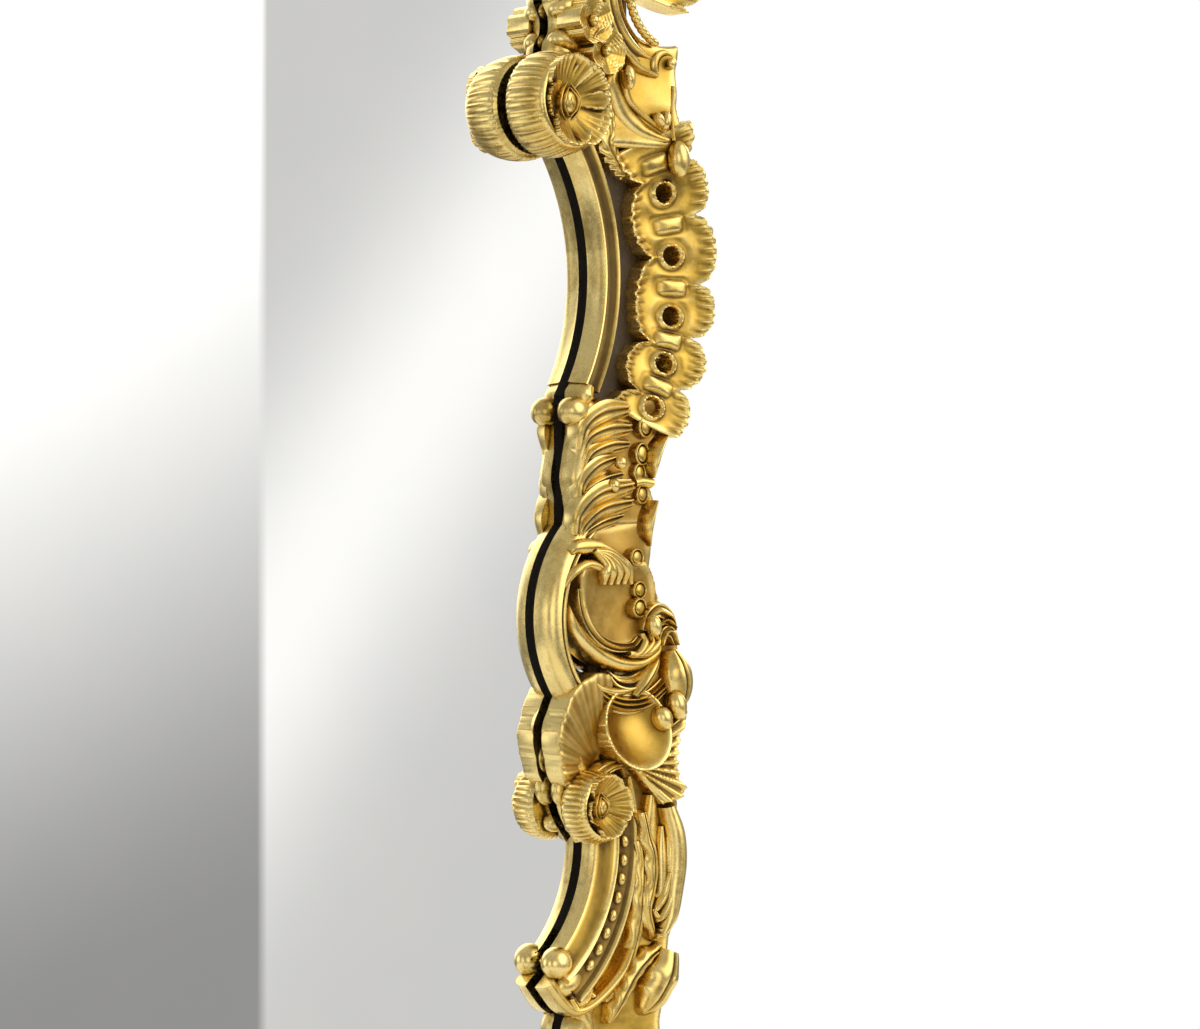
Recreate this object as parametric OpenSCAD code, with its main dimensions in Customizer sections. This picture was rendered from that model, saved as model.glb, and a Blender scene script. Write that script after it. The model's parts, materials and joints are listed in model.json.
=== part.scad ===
// Free-standing floor mirror in a carved and gilded frame, held up by a folding strut.
// The mirror is drawn upright, with the glass face on Y = 0 and its front towards -Y,
// and the whole of it then leans back. "Rise" is a height in front of the glass.

/* [Mirror] */
// Width of the mirror plate
plate_w = 830; // [800:5:860]
// Height of the mirror plate
plate_h = 1490; // [1470:5:1500]
// Thickness of the mirror plate
plate_t = 5; // [4:1:6]
// Height of the plate's lower edge above the floor
plate_z = 200; // [195:1:205]
// Angle that the mirror leans back
lean = 8; // [7:0.5:9]

/* [Carved frame] */
// Half the width of the view at the frame's inner edge
sight_x = 360; // [355:1:365]
// Height of the middle of the side carving
side_z = 1000; // [990:1:1010]
// Thickness of the black liner between glass and frame
liner_t = 4.5; // [3:0.5:5]
// Rise of the flat ground that the carving stands on
ground_rise = 14; // [12:1:15]
// Rise of the tallest carving
crown_rise = 50; // [46:1:52]

/* [Back] */
// Depth of the timber core behind the glass face
core_t = 30; // [28:1:34]
// Width of the core's stiles and rails
core_w = 40; // [36:1:42]
// Angle between the strut and the back when it stands open
strut_open = 17.5; // [16:0.5:18]
// Height of the strut's hinge pin
hinge_z = 1376; // [1360:1:1400]
// Distance between the middles of the strut's legs
strut_w = 440; // [400:10:480]
// Height of the stay strap
strap_z = 376; // [360:1:390]

/* [Hidden] */
$fn = 48;
gold = "goldenrod";
antique = "darkgoldenrod";
timber = "burlywood";
steel = "silver";

// Levels behind the glass face.
board_t = 6;
panel_back = core_t;
rail_t = 20;
rail_h = 70;
rail_back = core_t + rail_t;
leaf_t = 2;
knuckle_r = 4;
pin_r = 2;
pin_y = rail_back + knuckle_r;
leg_t = 22;
leg_w = 45;
leg_y = pin_y + knuckle_r;
leg_top = hinge_z - 6;
foot_gap = 12;
strut_rail_h = 50;

// The mirror's middle lies over the middle of the space between toe and strut foot.
centre_y = 227;

stile_x = plate_w / 2 + 2;
plate_top = plate_z + plate_h;
core_low = 22;
core_top = plate_top + 2 + core_w;

// Centres and radii of the arcs that the inner edge follows, on the right-hand side.
upper_c = [sight_x - 124, side_z + 183];
upper_r = 172;
scroll_c = [sight_x + 91, side_z - 86];
scroll_r = 102;
lower_c = [sight_x - 68, side_z - 263];
lower_r = 110;
high_c = [sight_x - 124, side_z + 480];
low_c = [sight_x - 124, side_z - 570];
top_c = [180, 1490];
base_c = [180, 402];
lobe_r = 180;
base_r = 172;

// ---- placing ----

module leaned() translate([0, -centre_y, 0]) rotate([-lean, 0, 0]) children();

module opened()
    translate([0, pin_y, hinge_z]) rotate([strut_open, 0, 0]) translate([0, -pin_y, -hinge_z]) children();

module left_side() mirror([1, 0, 0]) children();

module both_sides() { children(); mirror([1, 0, 0]) children(); }

module above_floor() intersection() { children(); translate([-700, -700, 0]) cube([1400, 1400, 2200]); }

// A flat outline, drawn in X and Z, given thickness forward from a rise.
module slab(rise, thick) translate([0, -rise, 0]) rotate([90, 0, 0]) linear_extrude(thick) children();

// A domed boss: a slice of a ball that stands on a rise.
module dome(at, r, rise, tall) {
    ball_r = (r * r + tall * tall) / (2 * tall);
    intersection() {
        translate([at[0], -rise + ball_r - tall, at[1]]) sphere(r = ball_r, $fn = 64);
        translate([at[0] - 2 * r, -rise - tall - 1, at[1] - 2 * r]) cube([4 * r, tall + 1, 4 * r]);
    }
}

// ---- outlines ----

function polar(c, r, a) = [c[0] + r * cos(a), c[1] + r * sin(a)];

// Part of a ring from angle a0 to angle a1.
module ring_part(c, r0, r1, a0, a1) {
    steps = ceil((a1 - a0) / 45);
    far = r1 * 1.5;
    intersection() {
        translate(c) difference() { circle(r = r1); circle(r = r0); }
        translate(c) polygon(concat([[0, 0]],
            [for (i = [0:steps]) let (a = a0 + (a1 - a0) * i / steps) far * [cos(a), sin(a)]]));
    }
}

module disc(at, r) translate(at) circle(r = r);

module box2(x0, z0, x1, z1) translate([x0, z0]) square([x1 - x0, z1 - z0]);

// A pointed leaf from a root, as the overlap of two circles.
module leaf(root, len, wide, a) {
    r = (len * len / 4 + wide * wide / 4) / wide;
    translate(root) rotate(a) intersection() {
        translate([len / 2, wide / 2 - r]) circle(r = r);
        translate([len / 2, r - wide / 2]) circle(r = r);
    }
}

// A run of overlapping round lobes along an arc, which gives a scalloped edge.
module lobes(c, r, a0, a1, count, lobe) {
    for (i = [0:count - 1]) disc(polar(c, r, a0 + (a1 - a0) * i / (count - 1)), lobe);
}

// ---- moulding ----

// Cross-section of a carved moulding: a wall at the inner edge, a cove, and an outer ridge.
module moulding_section(width, tall) {
    polygon([[0, 0], [0, tall * 0.35], [2, tall * 0.55], [width * 0.35, tall * 0.5],
        [width * 0.7, tall * 0.75], [width * 0.85, tall], [width, tall * 0.9], [width, 0]]);
}

// A moulding bent round an arc. Its section stands on the ground, r is the arc of its wall,
// and outward is 1 where the section grows away from the centre and -1 where it grows inward.
module bent_moulding(c, r, a0, a1, width, tall, outward = 1) {
    translate([c[0], -ground_rise, c[1]]) rotate([90, 0, 0]) rotate([0, 0, a0])
        rotate_extrude(angle = a1 - a0, $fn = 96) translate([r, 0]) {
            if (outward > 0) moulding_section(width, tall);
            else mirror([1, 0]) moulding_section(width, tall);
        }
}

// Cross-section of a shell border, which rises outward like the rim of a dish.
module border_section(width, low, high) {
    polygon([[0, 0], [0, low], [width * 0.12, low + 1], [width * 0.45, low - 1],
        [width * 0.8, high * 0.8], [width, high], [width, high - 9], [width * 0.6, 0]]);
}

// A shell border along an arc, with its edge cut to the outline given as children.
module shell_border(c, r, a0, a1, width, low, high) intersection() {
    translate([c[0], -ground_rise, c[1]]) rotate([90, 0, 0]) rotate([0, 0, a0])
        rotate_extrude(angle = a1 - a0, $fn = 96) translate([r, 0]) border_section(width, low, high);
    slab(ground_rise - 1, high + 2) children();
}

// ---- timber core and what it holds ----

module stile() color(timber) translate([stile_x, 0, core_low]) cube([core_w, core_t, core_top - core_low]);

module core_rail(z) color(timber) translate([-stile_x, 0, z]) cube([2 * stile_x, core_t, core_w]);

module core_hinge_rail() color(timber) leaned()
    translate([-stile_x - core_w + 6, core_t, hinge_z]) cube([2 * (stile_x + core_w - 6), rail_t, rail_h]);

module mirror_plate() color("lightgray") leaned() translate([0, 0, plate_z + plate_h / 2]) difference() {
    translate([-plate_w / 2, 0, -plate_h / 2]) cube([plate_w, plate_t, plate_h]);
    for (s = [-1, 1]) translate([s * plate_w / 2, 0, 0]) rotate([0, 0, 45])
        cube([2.8, 2.8, plate_h + 2], center = true);
}

module backing_board() color("tan") leaned()
    translate([-stile_x + 1, plate_t, plate_z - 1]) cube([2 * stile_x - 2, board_t, plate_h + 2]);

module back_fillets() color(timber) leaned() {
    y = plate_t + board_t;
    deep = panel_back - y;
    for (s = [0, 1]) {
        translate([s ? stile_x - 26 : -stile_x + 1, y, plate_z - 1]) cube([25, deep, plate_h + 2]);
        translate([-stile_x + 26, y, s ? plate_top - 24 : plate_z - 1]) cube([2 * stile_x - 52, deep, 25]);
    }
    for (z = [strap_z - 30, hinge_z - 420])
        translate([-stile_x + 26, y, z]) cube([2 * stile_x - 52, deep, 60]);
}

// ---- the carved sides ----

// Everything inside the inner edge, which the ground and its liner stop at.
module sight_cut_side() {
    disc(upper_c, upper_r);
    disc(lower_c, lower_r);
    disc(high_c, upper_r);
    disc(low_c, upper_r);
    difference() {
        box2(0, 520, sight_x + 20, 1480);
        disc(scroll_c, scroll_r);
    }
}

module sight_cut_ends() {
    disc(top_c, lobe_r);
    disc(base_c, base_r);
    box2(-1, 330, 300, 1580);
    box2(-1, 262, 60, 1600);
}

module side_outline() {
    box2(sight_x - 14, 500, sight_x + 80, 1440);
    lobes(upper_c, 232, -28, 30, 5, 30);
    disc([sight_x + 72, side_z - 134], 48);
    lobes(lower_c, 168, -42, 22, 4, 24);
    disc([sight_x + 62, side_z + 340], 46);
}

module c_scroll_opening() intersection() {
    difference() { disc(scroll_c, 81); disc([sight_x + 92, side_z - 74], 64); }
    box2(sight_x, side_z - 142, sight_x + 62, side_z - 30);
}

module side_ground() color(antique) slab(liner_t, ground_rise - liner_t) difference() {
    side_outline();
    sight_cut_side();
    c_scroll_opening();
    box2(0, 0, 700, 560);
    box2(0, 1405, 700, 2100);
}

module side_liner() difference() {
    intersection() {
        side_outline();
        box2(0, 561, 700, 1404);
        offset_sight_side(9);
    }
    sight_cut_side();
    c_scroll_opening();
}

module offset_sight_side(by) {
    disc(upper_c, upper_r + by);
    disc(lower_c, lower_r + by);
    difference() {
        box2(0, 520, sight_x + 20 + by, 1480);
        disc(scroll_c, scroll_r - by);
    }
}

module end_liner() difference() {
    union() {
        ring_part(top_c, lobe_r, lobe_r + 9, 55, 148);
        ring_part(base_c, base_r, base_r + 9, 225, 312);
        ring_part(high_c, upper_r, upper_r + 9, -22, 86);
        ring_part(low_c, upper_r, upper_r + 9, -80, 38);
        box2(0, 253, 84, 262.5);
        box2(0, 1599.5, 44, 1609);
    }
    sight_cut_side();
    sight_cut_ends();
}

module sight_liner() color("black") leaned() both_sides() slab(0, liner_t) {
    side_liner();
    end_liner();
}

module upper_moulding() color(gold) {
    bent_moulding(upper_c, upper_r, -29, 30, 20, 13);
    dome(polar(upper_c, upper_r + 7, -33.5), 11, ground_rise, 14);
}

module upper_border() color(gold)
    shell_border(upper_c, 205, -29, 29, 66, 12, crown_rise - ground_rise) difference() {
        union() {
            lobes(upper_c, 240, -22, 24, 4, 31);
            ring_part(upper_c, 200, 252, -30, 30);
        }
        for (a = [-16, -7, 4.5, 16.5]) disc(polar(upper_c, 237, a), 9);
        box2(0, 0, 700, side_z + 94);
        box2(0, 1334, 700, 2100);
    }

module shoulder_scroll() color(gold) {
    slab(ground_rise, 22) difference() {
        union() {
            disc([sight_x + 45, 1372], 30);
            disc([sight_x + 85, 1366], 34);
            box2(sight_x + 25, 1372, sight_x + 100, 1403);
        }
        box2(0, 1403, 700, 2100);
        box2(0, 0, 700, 1336);
    }
    dome([sight_x + 112, 1354], 12, ground_rise + 22, 9);
}

module acanthus() color(gold) {
    root = [sight_x + 28, side_z + 18];
    slab(ground_rise, 14) for (i = [0:4]) leaf(polar(root, 4, 70 - i * 13), 70 - i * 3, 27, 70 - i * 13);
    slab(ground_rise + 14, 10)
        for (i = [0:2]) leaf(polar(root, 9, 66 - i * 20), 54 - i * 3, 14, 66 - i * 20);
}

module c_scroll() color(gold) {
    bent_moulding(scroll_c, scroll_r, 122, 232, 20, 13, -1);
    for (a = [0, 120, 240]) dome(polar([sight_x + 57, side_z - 13], 7, a + 30), 7.5, ground_rise, 16);
}

module swirl_leaves() color(gold) {
    eye = [sight_x + 80, side_z - 74];
    slab(ground_rise, 14) intersection() {
        union() {
            disc(eye, 38);
            for (i = [0:7]) leaf(polar(eye, 24, 150 + i * 38), 52, 26, 205 + i * 38);
        }
        disc(scroll_c, scroll_r - 20.5);
        box2(0, side_z - 130, sight_x + 122, side_z - 27);
    }
    slab(ground_rise + 14, 12) ring_part(eye, 17, 31, -60, 210);
    dome(eye, 14, ground_rise + 14, 14);
}

module shell_cluster() color(gold) {
    root = [sight_x + 50, side_z - 236];
    half = 14;
    slab(ground_rise, 18) difference() {
        union() {
            ring_part(root, 12, 62, 20 - half, 132 + half);
            for (i = [0:4]) disc(polar(root, 60, 20 + i * 2 * half), 15);
        }
        disc(scroll_c, scroll_r + 0.5);
        disc(lower_c, lower_r + 42);
    }
    slab(ground_rise + 18, 8) difference() {
        for (i = [0:4]) leaf(polar(root, 20, 20 + i * 2 * half), 50, 12, 20 + i * 2 * half);
        disc(scroll_c, scroll_r + 0.5);
        disc(lower_c, lower_r + 42);
    }
}

module lower_moulding() color(gold) {
    bent_moulding(lower_c, lower_r, -46, 16, 41, 13);
    dome(polar(lower_c, lower_r - 1, -53), 13, ground_rise, 16);
}

module lower_border() color(gold) {
    shell_border(lower_c, lower_r + 42, -44, 6, 44, 11, crown_rise - ground_rise - 4) difference() {
        union() {
            lobes(lower_c, 172, -38, 8, 5, 23);
            ring_part(lower_c, 140, 184, -46, 14);
        }
        box2(0, 0, 700, side_z - 398);
    }
}

// An open cup of petals with an eye in its middle.
module rosette(at, rise, r, petals, tall) translate([at[0], -rise, at[1]]) rotate([90, 0, 0]) {
    difference() {
        union() {
            cylinder(r = r * 0.8, h = tall);
            for (i = [0:petals - 1]) rotate(i * 360 / petals)
                translate([r * 0.8, 0, 0]) cylinder(r = r * 0.2, h = tall + 2);
        }
        translate([0, 0, tall * 0.6]) cylinder(r = r * 0.52, h = tall);
    }
    translate([0, 0, tall * 0.5]) cylinder(r = r * 0.34, h = tall * 0.3);
    translate([0, 0, tall * 0.7]) cylinder(r = r * 0.16, h = tall * 0.25);
}

module upper_rosettes() color(gold) leaned() both_sides()
    rosette([sight_x - 5, 1314], ground_rise, 41, 15, 29);

module rosebuds() color(gold) leaned() both_sides()
    rosette([sight_x + 36, side_z - 232], ground_rise + 18.5, 24, 9, 11);

// ---- corners, crest and apron ----

module top_corner_ground() {
    difference() {
        union() {
            ring_part(high_c, upper_r, 250, -24, 62);
            disc([404, 1672], 88);
        }
        sight_cut_side();
        sight_cut_ends();
        box2(0, 0, 700, 1405.5);
    }
}

// The crest rises in steps from the corners to the shell.
CREST_HOLES = [[112, 1800, 24], [206, 1792, 40], [300, 1762, 16]];

module crest_outline() {
    box2(-1, 1602, 100, 1830);
    disc([70, 1880], 58);
    disc([110, 1800], 56);
    disc([206, 1792], 76);
    disc([300, 1758], 48);
    disc([360, 1740], 34);
}

module top_ground() color(antique) leaned() slab(liner_t, ground_rise - liner_t) difference() {
    union() {
        both_sides() ring_part(top_c, lobe_r, 268, 46, 148);
        box2(-380, 1665, 380, 1748);
        both_sides() crest_outline();
    }
    both_sides() { sight_cut_ends(); top_corner_ground(); }
    both_sides() for (at = CREST_HOLES) disc([at[0], at[1]], at[2]);
}

// The apron mirrors the crest, smaller.
APRON_HOLES = [[206, 146, 28], [300, 150, 12]];

module apron_outline() {
    box2(-1, 116, 110, 240);
    disc([96, 150], 40);
    disc([206, 146], 60);
    disc([300, 154], 40);
    box2(100, 150, 384, 240);
}

module bottom_ground() color(antique) leaned() slab(liner_t, ground_rise - liner_t) difference() {
    union() {
        both_sides() ring_part(base_c, base_r, 250, 212, 314);
        both_sides() apron_outline();
        disc([0, 150], 62);
    }
    both_sides() {
        sight_cut_ends();
        sight_cut_side();
        ring_part(low_c, upper_r - 12, 250.5, -70.2, 50.2);
        box2(379.5, 0, 700, 300);
        for (at = APRON_HOLES) disc([at[0], at[1]], at[2]);
    }
}

module top_corner() color(gold) {
    slab(liner_t, ground_rise - liner_t) top_corner_ground();
    bent_moulding(high_c, upper_r + 0.5, -22, 41, 20, 13);
    shell_border(high_c, 205, -19, 38, 66, 12, crown_rise - ground_rise) difference() {
        union() { lobes(high_c, 238, -10, 30, 4, 32); ring_part(high_c, 200, 248, -23, 41); }
        for (a = [-4, 11, 26]) disc(polar(high_c, 231, a), 10);
        disc([404, 1672], 44);
        box2(0, 0, 700, 1406);
    }
    for (i = [0:4]) slab(ground_rise, 16) difference() {
        leaf([404, 1672], 82, 20, 16 + i * 33);
        disc([404, 1672], 38);
    }
    dome([404, 1672], 36, ground_rise, 32);
}

module bottom_corner() color(gold) {
    slab(liner_t, ground_rise - liner_t) difference() {
        union() {
            ring_part(low_c, upper_r, 250, -70, 50);
            box2(380, 24, 470, 260);
            disc([452, 76], 50);
        }
        sight_cut_side();
        sight_cut_ends();
        box2(0, 559.5, 700, 2100);
        box2(0, 0, 700, 24);
    }
    bent_moulding(low_c, upper_r + 0.5, -42, 40, 20, 13);
    shell_border(low_c, 205, -40, 32, 66, 12, crown_rise - ground_rise) difference() {
        union() { lobes(low_c, 238, -34, 28, 5, 31); ring_part(low_c, 200, 248, -42, 36); }
        for (a = [-30, -16, -2, 12, 26]) disc(polar(low_c, 231, a), 10);
        box2(0, 559, 700, 2100);
    }
    for (i = [0:3]) slab(ground_rise, 16 + 3 * (i % 2)) difference() {
        leaf([440, 104], 96 - i * 8, 36, 62 + i * 22);
        disc([446, 80], 50.5);
    }
    slab(ground_rise, 30) difference() {
        disc([446, 80], 50);
        disc([446, 80], 26);
        box2(0, 0, 700, 30);
    }
    dome([446, 80], 25, ground_rise, 36);
}

// A shell of ribs that fan out from a root. The ribs are wedges with round ends.
module fan_shell(at, r, a0, a1, ribs, rise, tall) {
    half = (a1 - a0) / (ribs - 1) / 2;
    end_r = r * sin(half) * 1.02;
    slab(rise, tall) union() {
        ring_part(at, r * 0.2, r * 0.86, a0 - half, a1 + half);
        for (i = [0:ribs - 1]) disc(polar(at, r * 0.86, a0 + 2 * half * i), end_r);
    }
}

module crest_shell() color(gold) leaned() {
    fan_shell([0, 1850], 142, 10, 170, 9, ground_rise, 26);
    for (a = [10:20:170]) slab(ground_rise + 26, 10) leaf(polar([0, 1850], 34, a), 100, 17, a);
    dome([0, 1846], 30, ground_rise + 26, 10);
    slab(ground_rise, 22) difference() { disc([0, 1752], 62); disc([0, 1752], 44); disc([0, 1850], 30); }
    dome([0, 1752], 43, ground_rise, 34);
    slab(ground_rise, 20) difference() { leaf([0, 1600], 96, 52, 90); disc([0, 1752], 62.5); }
}

module crest_scroll() color(gold) {
    bent_moulding([206, 1792], 42, -50, 178, 30, 26);
    dome([186, 1756], 17, ground_rise, 28);
    bent_moulding([300, 1762], 18, -30, 170, 24, 20);
    bent_moulding(top_c, lobe_r, 53, 116, 20, 13);
    slab(ground_rise, 16) difference() {
        union() for (i = [0:5]) leaf([112 + i * 40, 1706 - i * 4], 70, 28, 62 - i * 8);
        for (at = CREST_HOLES) disc([at[0], at[1]], at[2] + 32);
        disc(top_c, lobe_r + 21);
        disc([404, 1672], 90);
        disc([0, 1752], 63);
    }
}

module apron_shell() color(gold) leaned() {
    fan_shell([0, 176], 122, 200, 340, 7, ground_rise, 26);
    for (i = [0:6]) let (a = 200 + i * 70 / 3)
        slab(ground_rise + 26, 8) leaf(polar([0, 176], 26, a), 88, 19, a);
    dome([0, 208], 34, ground_rise, 28);
}

module apron_scroll() color(gold) {
    bent_moulding([206, 146], 30, 182, 410, 28, 24);
    dome([190, 176], 14, ground_rise, 24);
    bent_moulding([300, 150], 14, 190, 400, 22, 18);
    bent_moulding(base_c, base_r, 238, 307, 20, 13);
    slab(ground_rise, 16) difference() {
        for (i = [0:2]) leaf([112 + i * 88, 212 - i * 12], 56, 24, -40 + i * 14);
        for (at = APRON_HOLES) disc([at[0], at[1]], at[2] + 30);
        disc(base_c, base_r + 21);
    }
}

// ---- feet, strut and hardware ----

module front_feet() color("dimgray") above_floor() leaned() both_sides()
    translate([stile_x - 6, -44, -12]) cube([62, 44 + core_t, core_low + 12 - (core_low - 22)]);

module hinge_at(side) translate([side * strut_w / 2, 0, 0]) children();

module knuckle(x, len) translate([x, pin_y, hinge_z]) rotate([0, 90, 0]) cylinder(r = knuckle_r, h = len);

knuckle_len = 15;
knuckle_gap = 0.4;

module hinge_leaf(y, z0, z1) translate([-leg_w / 2 + 1, y, z0]) cube([leg_w - 2, leaf_t, z1 - z0]);

module pin_bore() translate([-60, pin_y, hinge_z]) rotate([0, 90, 0]) cylinder(r = pin_r + 0.05, h = 120);

module hinge_fixed_leaves() color(steel) leaned() for (s = [-1, 1]) hinge_at(s) difference() {
    union() {
        difference() {
            hinge_leaf(rail_back, hinge_z, hinge_z + 48);
            translate([-knuckle_len / 2 - knuckle_gap, rail_back - 1, hinge_z - 1])
                cube([knuckle_len + 2 * knuckle_gap, leaf_t + 2, knuckle_r + 3]);
        }
        knuckle(-1.5 * knuckle_len, knuckle_len - knuckle_gap);
        knuckle(0.5 * knuckle_len + knuckle_gap, knuckle_len - knuckle_gap);
    }
    pin_bore();
}

module hinge_moving_leaves() color(steel) leaned() opened() for (s = [-1, 1]) hinge_at(s) difference() {
    union() {
        difference() {
            hinge_leaf(leg_y - leaf_t, hinge_z - 56, hinge_z);
            for (t = [-1, 1])
                translate([t * knuckle_len - knuckle_len / 2 - knuckle_gap, leg_y - leaf_t - 1, hinge_z - 8])
                cube([knuckle_len + 2 * knuckle_gap, leaf_t + 2, 10]);
        }
        knuckle(-knuckle_len / 2 + knuckle_gap, knuckle_len - 2 * knuckle_gap);
    }
    pin_bore();
}

module hinge_pins() color(steel) leaned() for (s = [-1, 1]) hinge_at(s)
    translate([-1.5 * knuckle_len - 2, pin_y, hinge_z]) rotate([0, 90, 0])
        cylinder(r = pin_r, h = 3 * knuckle_len + 4);

module strut_leg() color(timber) above_gap() leaned() opened()
    translate([strut_w / 2 - leg_w / 2, leg_y, -60]) cube([leg_w, leg_t, leg_top + 60]);

module above_gap() intersection() {
    children();
    translate([-700, -300, foot_gap]) cube([1400, 1400, 2200]);
}

module strut_rail(z) color(timber) leaned() opened()
    translate([-strut_w / 2 + leg_w / 2, leg_y, z]) cube([strut_w - leg_w, leg_t, strut_rail_h]);

module strut_feet() color("dimgray") intersection() {
    leaned() opened() both_sides()
        translate([strut_w / 2 - leg_w / 2, leg_y, -60]) cube([leg_w, leg_t, 140]);
    translate([-700, -300, 0]) cube([1400, 1400, foot_gap]);
}

// The stay strap runs square to the glass, from the lower fillet's level to the strut's low rail.
strut_rail_z = 300;
strap_w = 38;
strap_t = 2;

bar_r = 2.5;
bar_y = core_t + 9;

// A plate with two ears that hold the bar the strap is looped round.
module strap_plate(y, z, out) {
    translate([-30, min(y, y + out * 2.5), z - 22]) cube([60, 2.5, 44]);
    for (t = [-1, 1]) translate([t * 25 - 2, min(y, y + out * 12), z - 5]) cube([4, 12, 10]);
    translate([-27, y + out * 9, z]) rotate([0, 90, 0]) cylinder(r = bar_r, h = 54);
}

module strap_frame_anchor() color("goldenrod") leaned() strap_plate(core_t, strap_z, 1);

module strap_strut_anchor() color("goldenrod") leaned() opened()
    strap_plate(leg_y, strut_rail_z + strut_rail_h / 2, -1);

function strut_point(y, z) = [pin_y + (y - pin_y) * cos(strut_open) - (z - hinge_z) * sin(strut_open),
    hinge_z + (y - pin_y) * sin(strut_open) + (z - hinge_z) * cos(strut_open)];

// The strap hangs straight between the two bars.
module stay_strap() color("dimgray") leaned() {
    end = strut_point(leg_y - 9, strut_rail_z + strut_rail_h / 2);
    run = end - [bar_y, strap_z];
    a = atan2(run[1], run[0]);
    translate([0, bar_y, strap_z]) rotate([a, 0, 0])
        translate([-strap_w / 2, bar_r + 0.2, -strap_t / 2])
            cube([strap_w, norm(run) - 2 * bar_r - 0.4, strap_t]);
}

button_z = [520, 1180];
button_x = stile_x + 12;

// A retaining button that turns on its screw, flat against the back of a stile.
module turn_button(side, row) color(steel) leaned()
    translate([side * button_x, core_t + 0.2, button_z[row]])
    rotate([-90, 0, 0]) linear_extrude(3) difference() {
        union() {
            translate([side > 0 ? -34 : 0, -9]) square([34, 18]);
            circle(r = 9);
            translate([side > 0 ? -34 : 34, 0]) circle(r = 9);
        }
        circle(r = 2.6);
    }

// A round-headed screw in the back, with its shank drawn as far as the surface.
module screw(x, y, z, lift = 0) translate([x, y, z]) rotate([-90, 0, 0]) {
    if (lift > 0) cylinder(r = 2.55, h = lift);
    translate([0, 0, lift]) cylinder(r1 = 5, r2 = 3.5, h = 2);
}

module back_hardware() color(steel) leaned() {
    both_sides() {
        for (z = button_z) screw(button_x, core_t, z, 3.4);
        for (z = [plate_z - 2 - core_w, plate_top + 2 + core_w]) {
            up = z > 1000 ? -1 : 1;
            translate([stile_x - 56, core_t, min(z + up * 10, z + up * 30)]) cube([90, 2, 20]);
            translate([stile_x + 14, core_t, min(z + up * 30, z + up * 90)]) cube([20, 2, 60]);
            for (x = [-44, -14]) screw(stile_x + x, core_t + 2, z + up * 20);
            for (t = [45, 76]) screw(stile_x + 24, core_t + 2, z + up * t);
        }
        for (dz = [20, 50]) screw(stile_x + core_w / 2 - 4, rail_back, hinge_z + dz);
        for (x = [-12, 12]) screw(strut_w / 2 + x, rail_back + leaf_t, hinge_z + 34);
    }
}

// ---- nodes ----

module right_part(name) {
    if (name == "ground") side_ground();
    if (name == "upper_moulding") upper_moulding();
    if (name == "upper_border") upper_border();
    if (name == "shoulder_scroll") shoulder_scroll();
    if (name == "acanthus") acanthus();
    if (name == "c_scroll") c_scroll();
    if (name == "swirl_leaves") swirl_leaves();
    if (name == "shell_cluster") shell_cluster();
    if (name == "lower_moulding") lower_moulding();
    if (name == "lower_border") lower_border();
}

SIDE_PARTS = ["ground", "upper_moulding", "upper_border", "shoulder_scroll", "acanthus", "c_scroll",
    "swirl_leaves", "shell_cluster", "lower_moulding", "lower_border"];

for (name = SIDE_PARTS) {
    leaned() right_part(name);
    leaned() left_side() right_part(name);
}
leaned() stile();  // core_right_stile
leaned() left_side() stile();  // core_left_stile
leaned() core_rail(plate_top + 2);  // core_top_rail
leaned() core_rail(plate_z - 2 - core_w);  // core_bottom_rail
core_hinge_rail();
mirror_plate();
sight_liner();
backing_board();
back_fillets();
top_ground();
bottom_ground();
upper_rosettes();
rosebuds();
leaned() top_corner();  // top_right_corner
leaned() left_side() top_corner();  // top_left_corner
leaned() bottom_corner();  // bottom_right_corner
leaned() left_side() bottom_corner();  // bottom_left_corner
crest_shell();
leaned() crest_scroll();  // crest_right_scroll
leaned() left_side() crest_scroll();  // crest_left_scroll
apron_shell();
leaned() apron_scroll();  // apron_right_scroll
leaned() left_side() apron_scroll();  // apron_left_scroll
back_hardware();
front_feet();
hinge_fixed_leaves();
hinge_pins();
hinge_moving_leaves();
strut_leg();  // strut_right_leg
left_side() strut_leg();  // strut_left_leg
strut_rail(leg_top - 120);  // strut_top_rail
strut_rail(strut_rail_z);  // strut_low_rail
strut_feet();
strap_frame_anchor();
strap_strut_anchor();
stay_strap();
for (i = [0:3]) turn_button(i < 2 ? 1 : -1, i % 2);
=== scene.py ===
"""Looks of the floor mirror in its carved and gilded frame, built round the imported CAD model.

Carvings are worked out in the mirror's own upright frame, in millimetres, as points
(across, rise, up): rise is the height in front of the glass, up the height before leaning.
"""
import json
import math

import bpy
import numpy as np
from mathutils import Matrix, Vector


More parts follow.
